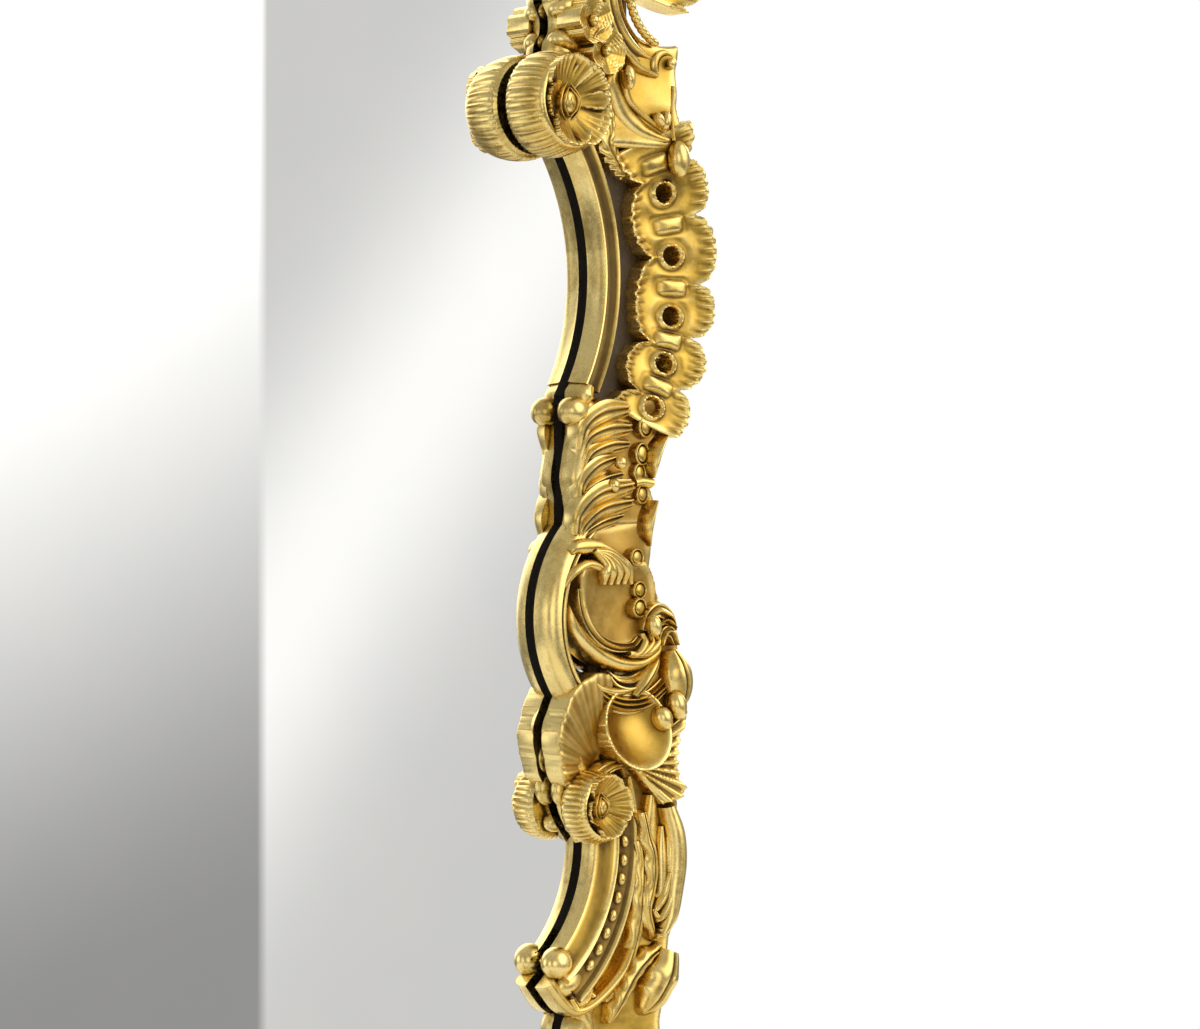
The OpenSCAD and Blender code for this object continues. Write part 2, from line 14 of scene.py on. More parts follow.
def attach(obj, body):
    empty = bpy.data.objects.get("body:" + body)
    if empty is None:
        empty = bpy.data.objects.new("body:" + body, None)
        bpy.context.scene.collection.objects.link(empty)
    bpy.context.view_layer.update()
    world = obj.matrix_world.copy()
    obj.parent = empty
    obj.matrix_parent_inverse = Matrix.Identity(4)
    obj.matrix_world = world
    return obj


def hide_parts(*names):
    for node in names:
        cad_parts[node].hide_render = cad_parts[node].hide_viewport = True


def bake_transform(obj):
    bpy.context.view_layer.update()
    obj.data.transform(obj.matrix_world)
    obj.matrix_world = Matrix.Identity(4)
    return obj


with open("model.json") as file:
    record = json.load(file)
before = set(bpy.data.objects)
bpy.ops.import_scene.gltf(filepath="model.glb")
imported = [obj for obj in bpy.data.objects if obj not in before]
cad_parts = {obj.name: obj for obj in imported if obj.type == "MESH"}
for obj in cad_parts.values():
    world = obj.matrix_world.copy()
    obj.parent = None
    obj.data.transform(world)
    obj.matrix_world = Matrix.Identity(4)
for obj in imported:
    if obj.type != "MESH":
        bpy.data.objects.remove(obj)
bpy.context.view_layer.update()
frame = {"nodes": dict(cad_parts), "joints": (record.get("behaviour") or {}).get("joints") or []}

MM = 0.001
TAU = 2 * math.pi
DEGREE = 0.0175   # about one degree in radians, for how far a point is from a straight side

# The lean and the place of the upright frame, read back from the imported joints.
JOINTS = {joint["name"]: joint for joint in frame["joints"]}
BACK_AXIS = JOINTS["turn_button_1_swivel"]["axis"]
LEAN = math.atan2(-BACK_AXIS[2], BACK_AXIS[1])
PIN_DEPTH, PIN_UP = 54, 1376
CENTRE = PIN_DEPTH * math.cos(LEAN) + PIN_UP * math.sin(LEAN) - JOINTS["strut_fold"]["pos_m"][1] / MM

# Where the inner edge is widest, and the height that the rail's circles are set out from.
SIGHT = 360
SIDE = 1000
LINER = 4.5          # the rise of the black strip round the glass
BACK = LINER + 0.4   # the rise at which the sight mouldings start
GROUND = 14
CREASE = 38          # edges sharper than this many degrees stay sharp

# Circles that the inner edge follows on the right-hand side, as (across, up) and radius.
UPPER, UPPER_R = (SIGHT - 124, SIDE + 183), 172
SCROLL, SCROLL_R = (SIGHT + 91, SIDE - 86), 102
LOWER, LOWER_R = (SIGHT - 68, SIDE - 263), 110
HIGH = (SIGHT - 124, SIDE + 480)
LOW = (SIGHT - 124, SIDE - 570)
TOP, TOP_R = (180, 1490), 180
BASE, BASE_R = (180, 402), 172


# ---------------------------------------------------------------- placing and meshes

def to_world(points):
    """Points (across, rise, up) in millimetres to the row frame in metres."""
    across, rise, up = np.moveaxis(np.asarray(points, float), -1, 0)
    lean_cos, lean_sin = math.cos(LEAN), math.sin(LEAN)
    depth = -rise * lean_cos + up * lean_sin - CENTRE
    height = rise * lean_sin + up * lean_cos
    return np.stack([across, depth, height], -1) * MM


def outward(points, faces):
    """The faces of a closed shape, turned so that they look outward."""
    volume = 0.0
    for block in faces:
        first = points[block[:, 0]]
        for k in range(1, block.shape[1] - 1):
            volume += np.einsum("ij,ij->", first, np.cross(points[block[:, k]], points[block[:, k + 1]]))
    return faces if volume > 0 else [block[:, ::-1] for block in faces]


def new_mesh(name, points, faces):
    sizes = np.concatenate([np.full(len(block), block.shape[1]) for block in faces])
    corners = np.concatenate([block.ravel() for block in faces])
    mesh = bpy.data.meshes.new(name)
    mesh.vertices.add(len(points))
    mesh.vertices.foreach_set("co", points.astype(np.float32).ravel())
    mesh.loops.add(len(corners))
    mesh.loops.foreach_set("vertex_index", corners.astype(np.int32))
    mesh.polygons.add(len(sizes))
    mesh.polygons.foreach_set("loop_start", (np.cumsum(sizes) - sizes).astype(np.int32))
    mesh.update(calc_edges=True)
    mesh.validate()
    return mesh


RELIEF_PASSES = 7    # how often the surface is smoothed to find what stands out of it


def mark_relief(mesh):
    """Stores how far each point stands out of its surroundings, in millimetres, as "relief"."""
    count = len(mesh.vertices)
    where = np.zeros(count * 3, np.float32)
    mesh.vertices.foreach_get("co", where)
    where = where.reshape(-1, 3).astype(float)
    ends = np.zeros(len(mesh.edges) * 2, np.int32)
    mesh.edges.foreach_get("vertices", ends)
    ends = ends.reshape(-1, 2)
    here = np.concatenate([ends[:, 0], ends[:, 1]])
    there = np.concatenate([ends[:, 1], ends[:, 0]])
    degree = np.maximum(np.bincount(here, minlength=count), 1)[:, None]
    smooth = where.copy()
    for _ in range(RELIEF_PASSES):
        smooth = np.stack([np.bincount(here, smooth[there, k], count) for k in range(3)], 1) / degree
    normal = np.zeros(count * 3, np.float32)
    mesh.vertices.foreach_get("normal", normal)
    normal = normal.reshape(-1, 3)
    relief = ((where - smooth) * normal).sum(1) / MM
    mesh.attributes.new("relief", "FLOAT", "POINT").data.foreach_set("value", relief.astype(np.float32))
    forward = np.array([0, -math.cos(LEAN), math.sin(LEAN)])
    rise = (where @ forward) / MM + CENTRE * -math.cos(LEAN)
    # Surfaces near the glass that face sideways are marked as wall; the gilding paints them a paler gold,
    # painted side light.
    wall = np.clip((0.66 - normal @ forward) / 0.35, 0, 1) * np.clip((32 - rise) / 8, 0, 1)
    mesh.attributes.new("wall", "FLOAT", "POINT").data.foreach_set("value", wall.astype(np.float32))


def make_object(name, points, faces, material, crease=CREASE):
    """A smooth-shaded object of one material, in the row frame."""
    mesh = new_mesh(name, points, faces)
    mesh.polygons.foreach_set("use_smooth", np.ones(len(mesh.polygons), bool))
    mesh.set_sharp_from_angle(angle=math.radians(crease))
    mesh.materials.append(material)
    made = bpy.data.objects.new(name, mesh)
    bpy.context.scene.collection.objects.link(made)
    return made


def piece(name, shapes, material, nodes=(), left=False):
    """One carving made of closed shapes, each given as (points, faces) on the right-hand side."""
    all_points, all_faces, start = [], [], 0
    for points, faces in shapes:
        mirror = (-1, 1, 1) if left else (1, 1, 1)
        placed = to_world(np.asarray(points, float).reshape(-1, 3) * mirror)
        all_points.append(placed)
        all_faces += [block + start for block in outward(placed, faces)]
        start += len(placed)
    made = make_object(name, np.concatenate(all_points), all_faces, material)
    mark_relief(made.data)
    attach(made, "frame")
    if nodes:
        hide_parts(*nodes)


# ---------------------------------------------------------------- shapes

def loft(rings):
    """A closed surface through rings of points, with its ends filled."""
    rings = np.asarray(rings, float)
    rows, cols = rings.shape[:2]
    index = np.arange(rows * cols).reshape(rows, cols)
    nxt = np.roll(index, -1, axis=1)
    sides = np.stack([index[:-1], nxt[:-1], nxt[1:], index[1:]], -1).reshape(-1, 4)
    first, last = rows * cols, rows * cols + 1
    caps = [np.stack([np.full(cols, first), nxt[0], index[0]], -1),
            np.stack([np.full(cols, last), index[-1], nxt[-1]], -1)]
    points = np.concatenate([rings.reshape(-1, 3), rings[:1].mean(1), rings[-1:].mean(1)])
    return points, [sides, np.concatenate(caps)]


def spline(knots, count):
    """A smooth line of evenly spread points through the knots."""
    knots = np.asarray(knots, float)
    padded = np.concatenate([[2 * knots[0] - knots[1]], knots, [2 * knots[-1] - knots[-2]]])
    fine = []
    for i in range(len(knots) - 1):
        a, b, c, d = padded[i:i + 4]
        t = np.linspace(0, 1, 24, endpoint=False)[:, None]
        fine.append(0.5 * (2 * b + (c - a) * t + (2 * a - 5 * b + 4 * c - d) * t ** 2
                           + (3 * b - a - 3 * c + d) * t ** 3))
    fine = np.concatenate(fine + [knots[-1:]])
    run = np.concatenate([[0], np.cumsum(np.linalg.norm(np.diff(fine, axis=0), axis=1))])
    even = np.linspace(0, run[-1], count)
    return np.stack([np.interp(even, run, fine[:, k]) for k in range(fine.shape[1])], 1)


def side_of(path):
    """At each point of a path, the unit direction in the frame's plane to the path's left."""
    along = np.gradient(path[:, [0, 2]], axis=0)
    along /= np.maximum(np.linalg.norm(along, axis=1), 1e-9)[:, None]
    return np.stack([-along[:, 1], along[:, 0]], 1)


def profile(values, count):
    """Numbers given at even steps along a piece, smoothed out to count numbers."""
    values = np.atleast_1d(values)
    if len(values) == 1:
        return np.full(count, float(values[0]))
    fine = spline(np.stack([np.linspace(0, 1, len(values)), values], 1), 200)
    return np.interp(np.linspace(0, 1, count), fine[:, 0], fine[:, 1])


def across_rings(path, tops, halves, foot):
    """Rings that stand on the level foot, with a top of given rises at given side offsets."""
    out = side_of(path)
    rings = []
    for i, (point, top, half) in enumerate(zip(path, tops, halves)):
        places = point[[0, 2]] + np.outer(half, out[i])
        upper = np.stack([places[:, 0], top, places[:, 1]], 1)
        low = np.minimum(foot, top.min() - 0.4)
        ends = [[places[-1, 0], low, places[-1, 1]], [places[0, 0], low, places[0, 1]]]
        rings.append(np.concatenate([upper, ends]))
    return rings


def band(knots, width, height, foot=GROUND - 2, grooves=0, count=56, depth=0.25, fullness=0.5):
    """A rounded strap along a line; its knots lie on its crest. Grooves run along it."""
    path = spline(knots, count)
    t = np.linspace(-1, 1, 17 if grooves < 3 else 25)
    dome = (1 - t ** 2) ** fullness
    if grooves:
        dome = dome * (1 - depth * (0.5 - 0.5 * np.cos(TAU * (t + 1) / 2 * (grooves + 1))) * (1 - t ** 8))
    widths, heights = profile(width, count), profile(height, count)
    tops = [point[1] - h + h * dome for point, h in zip(path, heights)]
    halves = [t * w / 2 for w in np.maximum(widths, 0.4)]
    return loft(across_rings(path, tops, halves, foot))


def leaf(knots, width, height=7, lobes=0, notch=0.28, vein=1.3, cup=0.0, foot=GROUND - 2, count=64, tip=0.9,
         root=0.35):
    """A leaf along a spine, with a sunk midrib, slanting veins and scalloped edges.

    cup raises the edges above the midrib; without it the leaf is crowned.
    """
    path = spline(knots, count)
    s = np.linspace(0, 1, count)
    outline = np.minimum(1, root + (1 - root) * np.sin(np.minimum(s / 0.45, 1) * math.pi / 2))
    outline *= np.maximum(1 - np.maximum((s - 0.45) / 0.55, 0) ** 2.2, 0) ** tip
    t = np.linspace(-1, 1, 27)
    tops, halves = [], []
    for k in range(count):
        slant = s[k] - 0.10 * (1 - np.abs(t))
        wave = 0.5 + 0.5 * np.cos(TAU * lobes * slant) if lobes else np.ones_like(t)
        half = width / 2 * outline[k] * (1 - notch * (1 - wave) * np.abs(t) ** 2) + 0.15
        crown = height * (1 - np.abs(t) ** 2.4) * outline[k] ** 0.5
        lift = cup * np.abs(t) ** 1.7 * outline[k]
        rib = vein * (wave - 0.5) * np.abs(t) ** 0.8 * outline[k] if lobes else 0
        groove = -0.30 * height * np.exp(-(t / 0.10) ** 2) * (1 - s[k]) ** 0.5
        tops.append(path[k, 1] - height + crown + lift + rib + groove)
        halves.append(t * half)
    return loft(across_rings(path, tops, halves, foot))


def blob(centre, radii, turn=0.0, count=14):
    """An egg-shaped boss. Its radii are across, rise and up, and turn is about the rise axis."""
    u = np.linspace(0, math.pi, count)[1:-1, None]
    v = np.linspace(0, TAU, 2 * count, endpoint=False)[None]
    ball = np.stack([np.sin(u) * np.cos(v), np.sin(u) * np.sin(v), np.cos(u) * np.ones_like(v)], -1) * radii
    cos, sin = math.cos(turn), math.sin(turn)
    x, z = ball[..., 0] * cos - ball[..., 2] * sin, ball[..., 0] * sin + ball[..., 2] * cos
    return loft(np.stack([x, ball[..., 1], z], -1) + np.asarray(centre, float))


def arc(centre, radius, start, end, count, rise=0.0):
    angle = np.radians(np.linspace(start, end, count))
    x, z = centre[0] + radius * np.cos(angle), centre[1] + radius * np.sin(angle)
    return np.stack([x, np.zeros(count) + rise, z], 1)


def moulding(centre, start, end, section, count):
    """A section of (radius, rise) points, closed, swept round an arc."""
    angle = np.radians(np.linspace(start, end, count))
    section = np.asarray(section, float)
    x = centre[0] + section[:, 0] * np.cos(angle)[:, None]
    z = centre[1] + section[:, 0] * np.sin(angle)[:, None]
    return loft(np.stack([x, np.broadcast_to(section[:, 1], x.shape), z], -1))


def curl(eye, radius, turns, start, width, rise, height, side, grooves=1):
    """A strap wound inward to an eye, as a volute, that climbs as it goes in."""
    s = np.linspace(0, 1, 30)
    r = radius * (1 - 0.82 * s)
    angle = math.radians(start) + side * turns * TAU * s
    knots = np.stack([eye[0] + r * np.cos(angle), rise + height * s, eye[1] + r * np.sin(angle)], 1)
    return [band(knots, [width, width * 0.9, width * 0.6, width * 0.35], 6, GROUND, grooves, 90),
            blob((eye[0], rise + height - 1, eye[1]), (width * 0.42, width * 0.34, width * 0.42))]


def at(*points):
    """Points given as (out from the widest sight edge, rise, up)."""
    return [(SIGHT + point[0], *point[1:]) for point in points]


def along(shape, *rows):
    """Bands or leaves: each row has knots out from the sight edge, and then the shape's sizes."""
    return [shape(at(*knots), *sizes) for knots, *sizes in rows]


def blobs(*rows):
    """Bosses: each row has a place out from the sight edge, and then the radii, turn and count."""
    return [blob(at(place)[0], *sizes) for place, *sizes in rows]


def spot(centre, radius, angle):
    """The point (across, up) at a radius and an angle in degrees about a centre."""
    turn = math.radians(angle)
    return centre[0] + radius * math.cos(turn), centre[1] + radius * math.sin(turn)


def on(centre, radius, angle, rise):
    """The same point at a rise."""
    x, z = spot(centre, radius, angle)
    return x, rise, z


def sweep(knots, sections, count):
    """Closed cross-sections of (outward, rise), carried along knots of (out from the sight edge, up).

    The sections are spread evenly along the line and blended in between.
    """
    path = spline(np.add(knots, (SIGHT, 0)), count)
    ahead = np.gradient(path, axis=0)
    ahead /= np.linalg.norm(ahead, axis=1)[:, None]
    out = np.stack([-ahead[:, 1], ahead[:, 0]], 1)
    out *= np.where(out[:, :1].mean() < 0, -1, 1)
    sections = np.asarray(sections, float)
    share = np.linspace(0, len(sections) - 1, count)
    low = np.minimum(share.astype(int), max(len(sections) - 2, 0))
    high = np.minimum(low + 1, len(sections) - 1)
    t = (share - low)[:, None, None]
    loops = sections[low] * (1 - t) + sections[high] * t
    place = path[:, None] + out[:, None] * loops[..., :1]
    return loft(np.stack([place[..., 0], loops[..., 1], place[..., 1]], -1))


def turned(centre, rows, count, flutes=0, turn=0.0):
    """A turned shape, from rows of (radius, rise, depth of flutes) that run from its back to its middle."""
    angle = np.linspace(0, TAU, count, endpoint=False) + math.radians(turn)
    rings = []
    for radius, rise, depth in rows:
        r = radius + depth * np.cos(flutes * angle)
        rings.append(np.stack([centre[0] + r * np.cos(angle), np.full(count, rise),
                               centre[1] + r * np.sin(angle)], 1))
    return loft(rings)


# Outlines: functions of (across, up) that are positive inside, about the distance to the edge.

def disc(centre, radius):
    return lambda x, z: radius - np.hypot(x - centre[0], z - centre[1])


def box2(x0, z0, x1, z1):
    return lambda x, z: np.minimum(np.minimum(x - x0, x1 - x), np.minimum(z - z0, z1 - z))


def union(*outlines):
    return lambda x, z: np.max([outline(x, z) for outline in outlines], axis=0)


def cut(outline, *others):
    return lambda x, z: np.min([outline(x, z)] + [-other(x, z) for other in others], axis=0)


def both(*outlines):
    return lambda x, z: np.min([outline(x, z) for outline in outlines], axis=0)


def relief(outline, top, span, cell=1.8, under=None, polar=None):
    """A closed solid over the part of a plane, or of a polar patch, that lies inside an outline.

    span is (x0, z0, x1, z1), or (angle, radius, angle, radius) about the point polar.
    top(x, z, inside) gives its rise; under is its level back, or a function of (x, z, top).
    """
    a0, b0, a1, b1 = span
    stretch = math.radians(1) * (b0 + b1) / 2 if polar else 1.0
    cols = max(2, int(abs(a1 - a0) * stretch / cell))
    rows = max(2, int(abs(b1 - b0) / cell))
    a, b = np.meshgrid(np.linspace(a0, a1, cols + 1), np.linspace(b0, b1, rows + 1), indexing="ij")
    if polar:
        x, z = polar[0] + b * np.cos(np.radians(a)), polar[1] + b * np.sin(np.radians(a))
    else:
        x, z = a, b
    inside = outline(x, z)
    inside = np.where(np.abs(inside) < 0.12 * cell, 0.12 * cell, inside)
    index = np.arange(inside.size).reshape(inside.shape)
    flat = np.stack([x.ravel(), z.ravel()], 1)
    value = inside.ravel()
    corner = np.stack([index[:-1, :-1], index[1:, :-1], index[1:, 1:], index[:-1, 1:]], -1).reshape(-1, 4)
    full = (value[corner] > 0).all(1)
    quads = corner[full]
    part = corner[~full & (value[corner] > 0).any(1)]
    split = np.concatenate([part[:, [0, 1, 2]], part[:, [0, 2, 3]]])
    extra, triangles = cut_triangles(split, value, flat)
    flat = np.concatenate([flat, extra])
    faces = [quads, triangles]
    used = np.unique(np.concatenate([quads.ravel(), triangles.ravel()]))
    renumber = np.full(len(flat), -1)
    renumber[used] = np.arange(len(used))
    faces = [renumber[block] for block in faces]
    flat = flat[used]
    depth = np.maximum(outline(flat[:, 0], flat[:, 1]), 0)
    high = top(flat[:, 0], flat[:, 1], depth)
    if under is None:
        low = np.full(len(flat), min(LINER + 0.3, high.min() - 1.0))
    else:
        low = under(flat[:, 0], flat[:, 1], high)
    count = len(flat)
    points = np.concatenate([np.stack([flat[:, 0], high, flat[:, 1]], 1),
                             np.stack([flat[:, 0], low, flat[:, 1]], 1)])
    rim = open_edges(faces)
    wall = np.stack([rim[:, 1], rim[:, 0], rim[:, 0] + count, rim[:, 1] + count], 1)
    return points, faces + [block[:, ::-1] + count for block in faces] + [wall]


def cut_triangles(triangles, value, flat):
    """The parts of triangles where value is positive, and the new points on their edges."""
    pairs = np.concatenate([triangles[:, [0, 1]], triangles[:, [1, 2]], triangles[:, [2, 0]]])
    crossing = (value[pairs[:, 0]] > 0) != (value[pairs[:, 1]] > 0)
    keys = np.unique(np.sort(pairs[crossing], axis=1), axis=0)
    share = value[keys[:, 0]] / (value[keys[:, 0]] - value[keys[:, 1]])
    extra = flat[keys[:, 0]] + share[:, None] * (flat[keys[:, 1]] - flat[keys[:, 0]])
    lookup = {tuple(key): len(value) + i for i, key in enumerate(keys.tolist())}
    made = []
    for tri in triangles.tolist():
        loop = []
        for here, there in zip(tri, tri[1:] + tri[:1]):
            if value[here] > 0:
                loop.append(here)
            if (value[here] > 0) != (value[there] > 0):
                loop.append(lookup[(min(here, there), max(here, there))])
        made += [[loop[0], loop[k], loop[k + 1]] for k in range(1, len(loop) - 1)]
    return extra, np.array(made, int).reshape(-1, 3)


def open_edges(faces):
    """The directed edges that only one face has."""
    edges = np.concatenate([np.stack([block, np.roll(block, -1, axis=1)], -1).reshape(-1, 2)
                            for block in faces])
    big = int(edges.max()) + 1
    forward = edges[:, 0] * big + edges[:, 1]
    backward = edges[:, 1] * big + edges[:, 0]
    return edges[~np.isin(forward, backward)]


def rounded(depth, radius, drop):
    """How much lower a surface lies near its edge, for an edge rounded over radius."""
    t = np.clip(1 - depth / radius, 0, 1)
    return drop * (1 - np.sqrt(np.maximum(1 - t ** 2, 0)))


# ---------------------------------------------------------------- materials

class Nodes:
    """A material's node tree, with short ways to add to it."""

    def __init__(self, name):
        self.material = bpy.data.materials.new(name)
        self.material.use_nodes = True
        self.tree = self.material.node_tree
        self.shader = self.tree.nodes["Principled BSDF"]

    def add(self, kind, links=(), **settings):
        node = self.tree.nodes.new("ShaderNode" + kind)
        for key, value in settings.items():
            setattr(node, key, value)
        for socket, source in dict(links).items():
            self.feed(node.inputs[socket], source)
        return node

    def feed(self, socket, source):
        if isinstance(source, bpy.types.NodeSocket):
            self.tree.links.new(source, socket)
        else:
            socket.default_value = source

    def set(self, **values):
        for key, value in values.items():
            self.feed(self.shader.inputs[key.replace("_", " ")], value)

    def place(self, stretch=(1, 1, 1)):
        coordinates = self.add("TexCoord").outputs["Object"]
        return self.add("Mapping", {"Vector": coordinates, "Scale": stretch}).outputs[0]

    def noise(self, where, scale, detail=3, rough=0.55):
        links = {"Vector": where, "Scale": scale, "Detail": detail, "Roughness": rough}
        return self.add("TexNoise", links).outputs[0]

    def wave(self, where, scale, distortion, axis="X"):
        links = {"Vector": where, "Scale": scale, "Distortion": distortion}
        return self.add("TexWave", links, bands_direction=axis).outputs[1]

    def ramp(self, value, *stops):
        node = self.add("ValToRGB", {"Fac": value})
        elements = node.color_ramp.elements
        for element, (position, colour) in zip(elements, (stops[0], stops[-1])):
            element.position = position
            element.color = grey_or(colour)
        for position, colour in stops[1:-1]:
            elements.new(position).color = grey_or(colour)
        return node.outputs["Color"]

    def span(self, value, low, high, to_low=0.0, to_high=1.0):
        return self.add("MapRange", {"Value": value, "From Min": low, "From Max": high,
                                     "To Min": to_low, "To Max": to_high}).outputs[0]

    def math(self, operation, a, b=0.0):
        return self.add("Math", {0: a, 1: b}, operation=operation).outputs[0]

    def mix(self, share, a, b):
        node = self.add("Mix", data_type="RGBA")
        self.feed(node.inputs[0], share)
        self.feed(node.inputs[6], a)
        self.feed(node.inputs[7], b)
        return node.outputs[2]

    def bump(self, height, distance, strength=1.0, under=None):
        node = self.add("Bump", {"Height": height, "Distance": distance, "Strength": strength})
        if under is not None:
            self.feed(node.inputs["Normal"], under)
        return node.outputs["Normal"]


def grey_or(colour):
    return (colour, colour, colour, 1) if isinstance(colour, (int, float)) else (*colour, 1)


# How strongly the gilding darkens, and the brown it darkens to: partly patina in the hollows, partly painted
# shade in crevices and sheltered places.
PATINA_AND_SHADE_STRENGTH = 0.8
PATINA_AND_SHADE_BROWN = (0.046, 0.027, 0.011, 1)


def gilding(name, deep, middle, high, polish):
    """Leaf gold over carved wood: burnished where it stands proud, dark and dull where it is sunk; the
    darkening is partly patina in the hollows and partly painted shade in crevices and sheltered places.

    Upright walls beside the glass, where they face sideways, are painted a paler gold as painted side light,
    with rubbed patches.
    """
    m = Nodes(name)
    where = m.place()
    proud = m.span(m.add("Attribute", attribute_name="relief").outputs["Fac"], -0.50, 0.50)
    wall = m.add("Attribute", attribute_name="wall").outputs["Fac"]
    broad = m.noise(where, 20, 3)
    patches = m.noise(where, 130, 4, 0.6)
    grain = m.noise(where, 1000, 3, 0.7)
    # Ambient occlusion, used below to paint shade into the colour of crevices and sheltered places.
    shelter = m.add("AmbientOcclusion", {"Distance": 0.012}, samples=5).outputs["AO"]
    crevice = m.add("AmbientOcclusion", {"Distance": 0.0035}, samples=4).outputs["AO"]
    tone = m.math("ADD", m.math("MULTIPLY", proud, 0.55), m.math("MULTIPLY", broad, 0.30))
    tone = m.math("ADD", tone, m.math("MULTIPLY", m.math("SUBTRACT", patches, 0.5), 0.35))
    # Painted shade: sheltered places get a darker gold tone.
    tone = m.math("ADD", tone, m.span(shelter, 0.35, 0.95, -0.22, 0.12))
    gold = m.ramp(tone, (0.10, deep), (0.50, middle), (0.90, high))
    # A paler gold for the sideways-facing walls: painted side light.
    painted_side_gold = m.ramp(tone, (0.10, (0.36, 0.225, 0.045)), (0.46, (0.76, 0.54, 0.160)),
                       (0.80, (0.94, 0.74, 0.30)))
    rubbed = m.span(m.math("ADD", broad, m.math("MULTIPLY", patches, 0.25)), 0.62, 0.50, 0.0, 0.75)
    gold = m.mix(wall, gold, m.mix(rubbed, painted_side_gold, m.mix(0.35, gold, (*deep, 1))))
    sunk = m.span(m.math("ADD", proud, m.math("MULTIPLY", patches, 0.4)), 0.52, 0.22)
    # Painted shade in tight crevices, from the short-range occlusion.
    crevice_shade = m.span(m.math("ADD", crevice, m.math("MULTIPLY", patches, 0.25)), 0.80, 0.44)
    specks = m.span(m.math("ADD", grain, m.math("MULTIPLY", patches, 0.7)), 1.00, 1.13, 0, 0.55)
    # The patina in the hollows is laid on only where they are sheltered, so it is partly painted shade.
    sunk = m.math("MULTIPLY", sunk, m.span(shelter, 0.97, 0.70))
    patina_and_shade = m.math("MULTIPLY", m.math("MAXIMUM", sunk, crevice_shade), PATINA_AND_SHADE_STRENGTH)
    patina_and_shade = m.math("MINIMUM", m.math("ADD", patina_and_shade, specks), 1.0)
    m.set(Base_Color=m.mix(patina_and_shade, gold, PATINA_AND_SHADE_BROWN),
          Metallic=m.span(patina_and_shade, 0.3, 1.0, 1.0, 0.3),
          Roughness=m.math("ADD", m.span(proud, 0.2, 0.8, polish + 0.12, polish),
                           m.span(patches, 0.3, 0.7, 0, 0.13)))
    worked = m.bump(patches, 0.0005, 0.35)
    m.set(Normal=m.bump(grain, 0.00010, 0.5, worked))
    return m.material


def timber(name, dark, pale, gloss, stretch, upright_beyond=None):
    """Timber whose grain runs along the axis that stretch shrinks.

    Further across than upright_beyond the grain stands upright instead.
    """
    m = Nodes(name)
    where = m.place(stretch)
    if upright_beyond is not None:
        away = m.math("ABSOLUTE", m.add("SeparateXYZ", {0: m.place((1, 1, 1))}).outputs[0])
        where = m.mix(m.math("GREATER_THAN", away, upright_beyond), where, m.place((1, 1, 0.12)))
    links = {"Vector": where, "Scale": 9, "Distortion": 7, "Detail": 3, "Detail Scale": 1.6}
    rings = m.add("TexWave", links).outputs[1]
    fibre = m.noise(where, 260, 4, 0.7)
    tone = m.math("ADD", m.math("MULTIPLY", rings, 0.55), m.math("MULTIPLY", fibre, 0.5))
    m.set(Base_Color=m.ramp(tone, (0.2, dark), (0.8, pale)),
          Roughness=m.span(fibre, 0.3, 0.7, gloss, gloss + 0.2))
    m.set(Normal=m.bump(fibre, 0.0004, 0.6))
    return m.material


def fibreboard():
    m = Nodes("fibreboard")
    where = m.place()
    fleck = m.noise(where, 420, 5, 0.8)
    cloud = m.noise(where, 6, 3)
    tone = m.math("ADD", m.math("MULTIPLY", fleck, 0.7), m.math("MULTIPLY", cloud, 0.3))
    m.set(Base_Color=m.ramp(tone, (0.25, (0.13, 0.075, 0.035)), (0.75, (0.30, 0.19, 0.10))), Roughness=0.86)
    m.set(Normal=m.bump(fleck, 0.0004, 0.5))
    return m.material


def metal(name, colour, rough):
    m = Nodes(name)
    lines = m.noise(m.place((1, 1, 40)), 160, 3, 0.6)
    wear = m.noise(m.place(), 40, 4)
    shade = m.mix(m.span(wear, 0.35, 0.75), (*colour, 1), (*[c * 0.62 for c in colour], 1))
    m.set(Base_Color=shade, Metallic=1.0, Roughness=m.span(lines, 0.3, 0.7, rough, rough + 0.18))
    m.set(Normal=m.bump(lines, 0.00005, 0.5))
    return m.material


def matt(name, dark, pale, rough, grain=900):
    m = Nodes(name)
    speck = m.noise(m.place(), grain, 3, 0.7)
    m.set(Base_Color=m.ramp(speck, (0.3, dark), (0.7, pale)),
          Roughness=m.span(speck, 0.3, 0.7, rough, rough + 0.12))
    m.set(Normal=m.bump(speck, 0.0002, 0.5))
    return m.material


def webbing():
    m = Nodes("webbing")
    where = m.place()
    weave = m.math("MULTIPLY", m.wave(where, 190, 0.4, "X"), m.wave(where, 150, 0.4, "Y"))
    fuzz = m.noise(where, 1500, 3, 0.7)
    tone = m.math("ADD", m.math("MULTIPLY", weave, 0.7), m.math("MULTIPLY", fuzz, 0.3))
    m.set(Base_Color=m.ramp(tone, (0.15, (0.07, 0.055, 0.035)), (0.8, (0.27, 0.21, 0.13))), Roughness=0.9,
          Sheen_Weight=0.25)
    m.set(Normal=m.bump(weave, 0.0005, 0.8))
    return m.material


def silvering():
    """Silvered plate glass: a clean mirror with the faint breath of age."""
    m = Nodes("silvered_glass")
    haze = m.noise(m.place(), 9, 3)
    m.set(Base_Color=m.ramp(haze, (0.3, (0.93, 0.94, 0.94)), (0.7, (0.96, 0.965, 0.96))), Metallic=1.0,
          Roughness=m.span(haze, 0.3, 0.8, 0.0, 0.012))
    return m.material


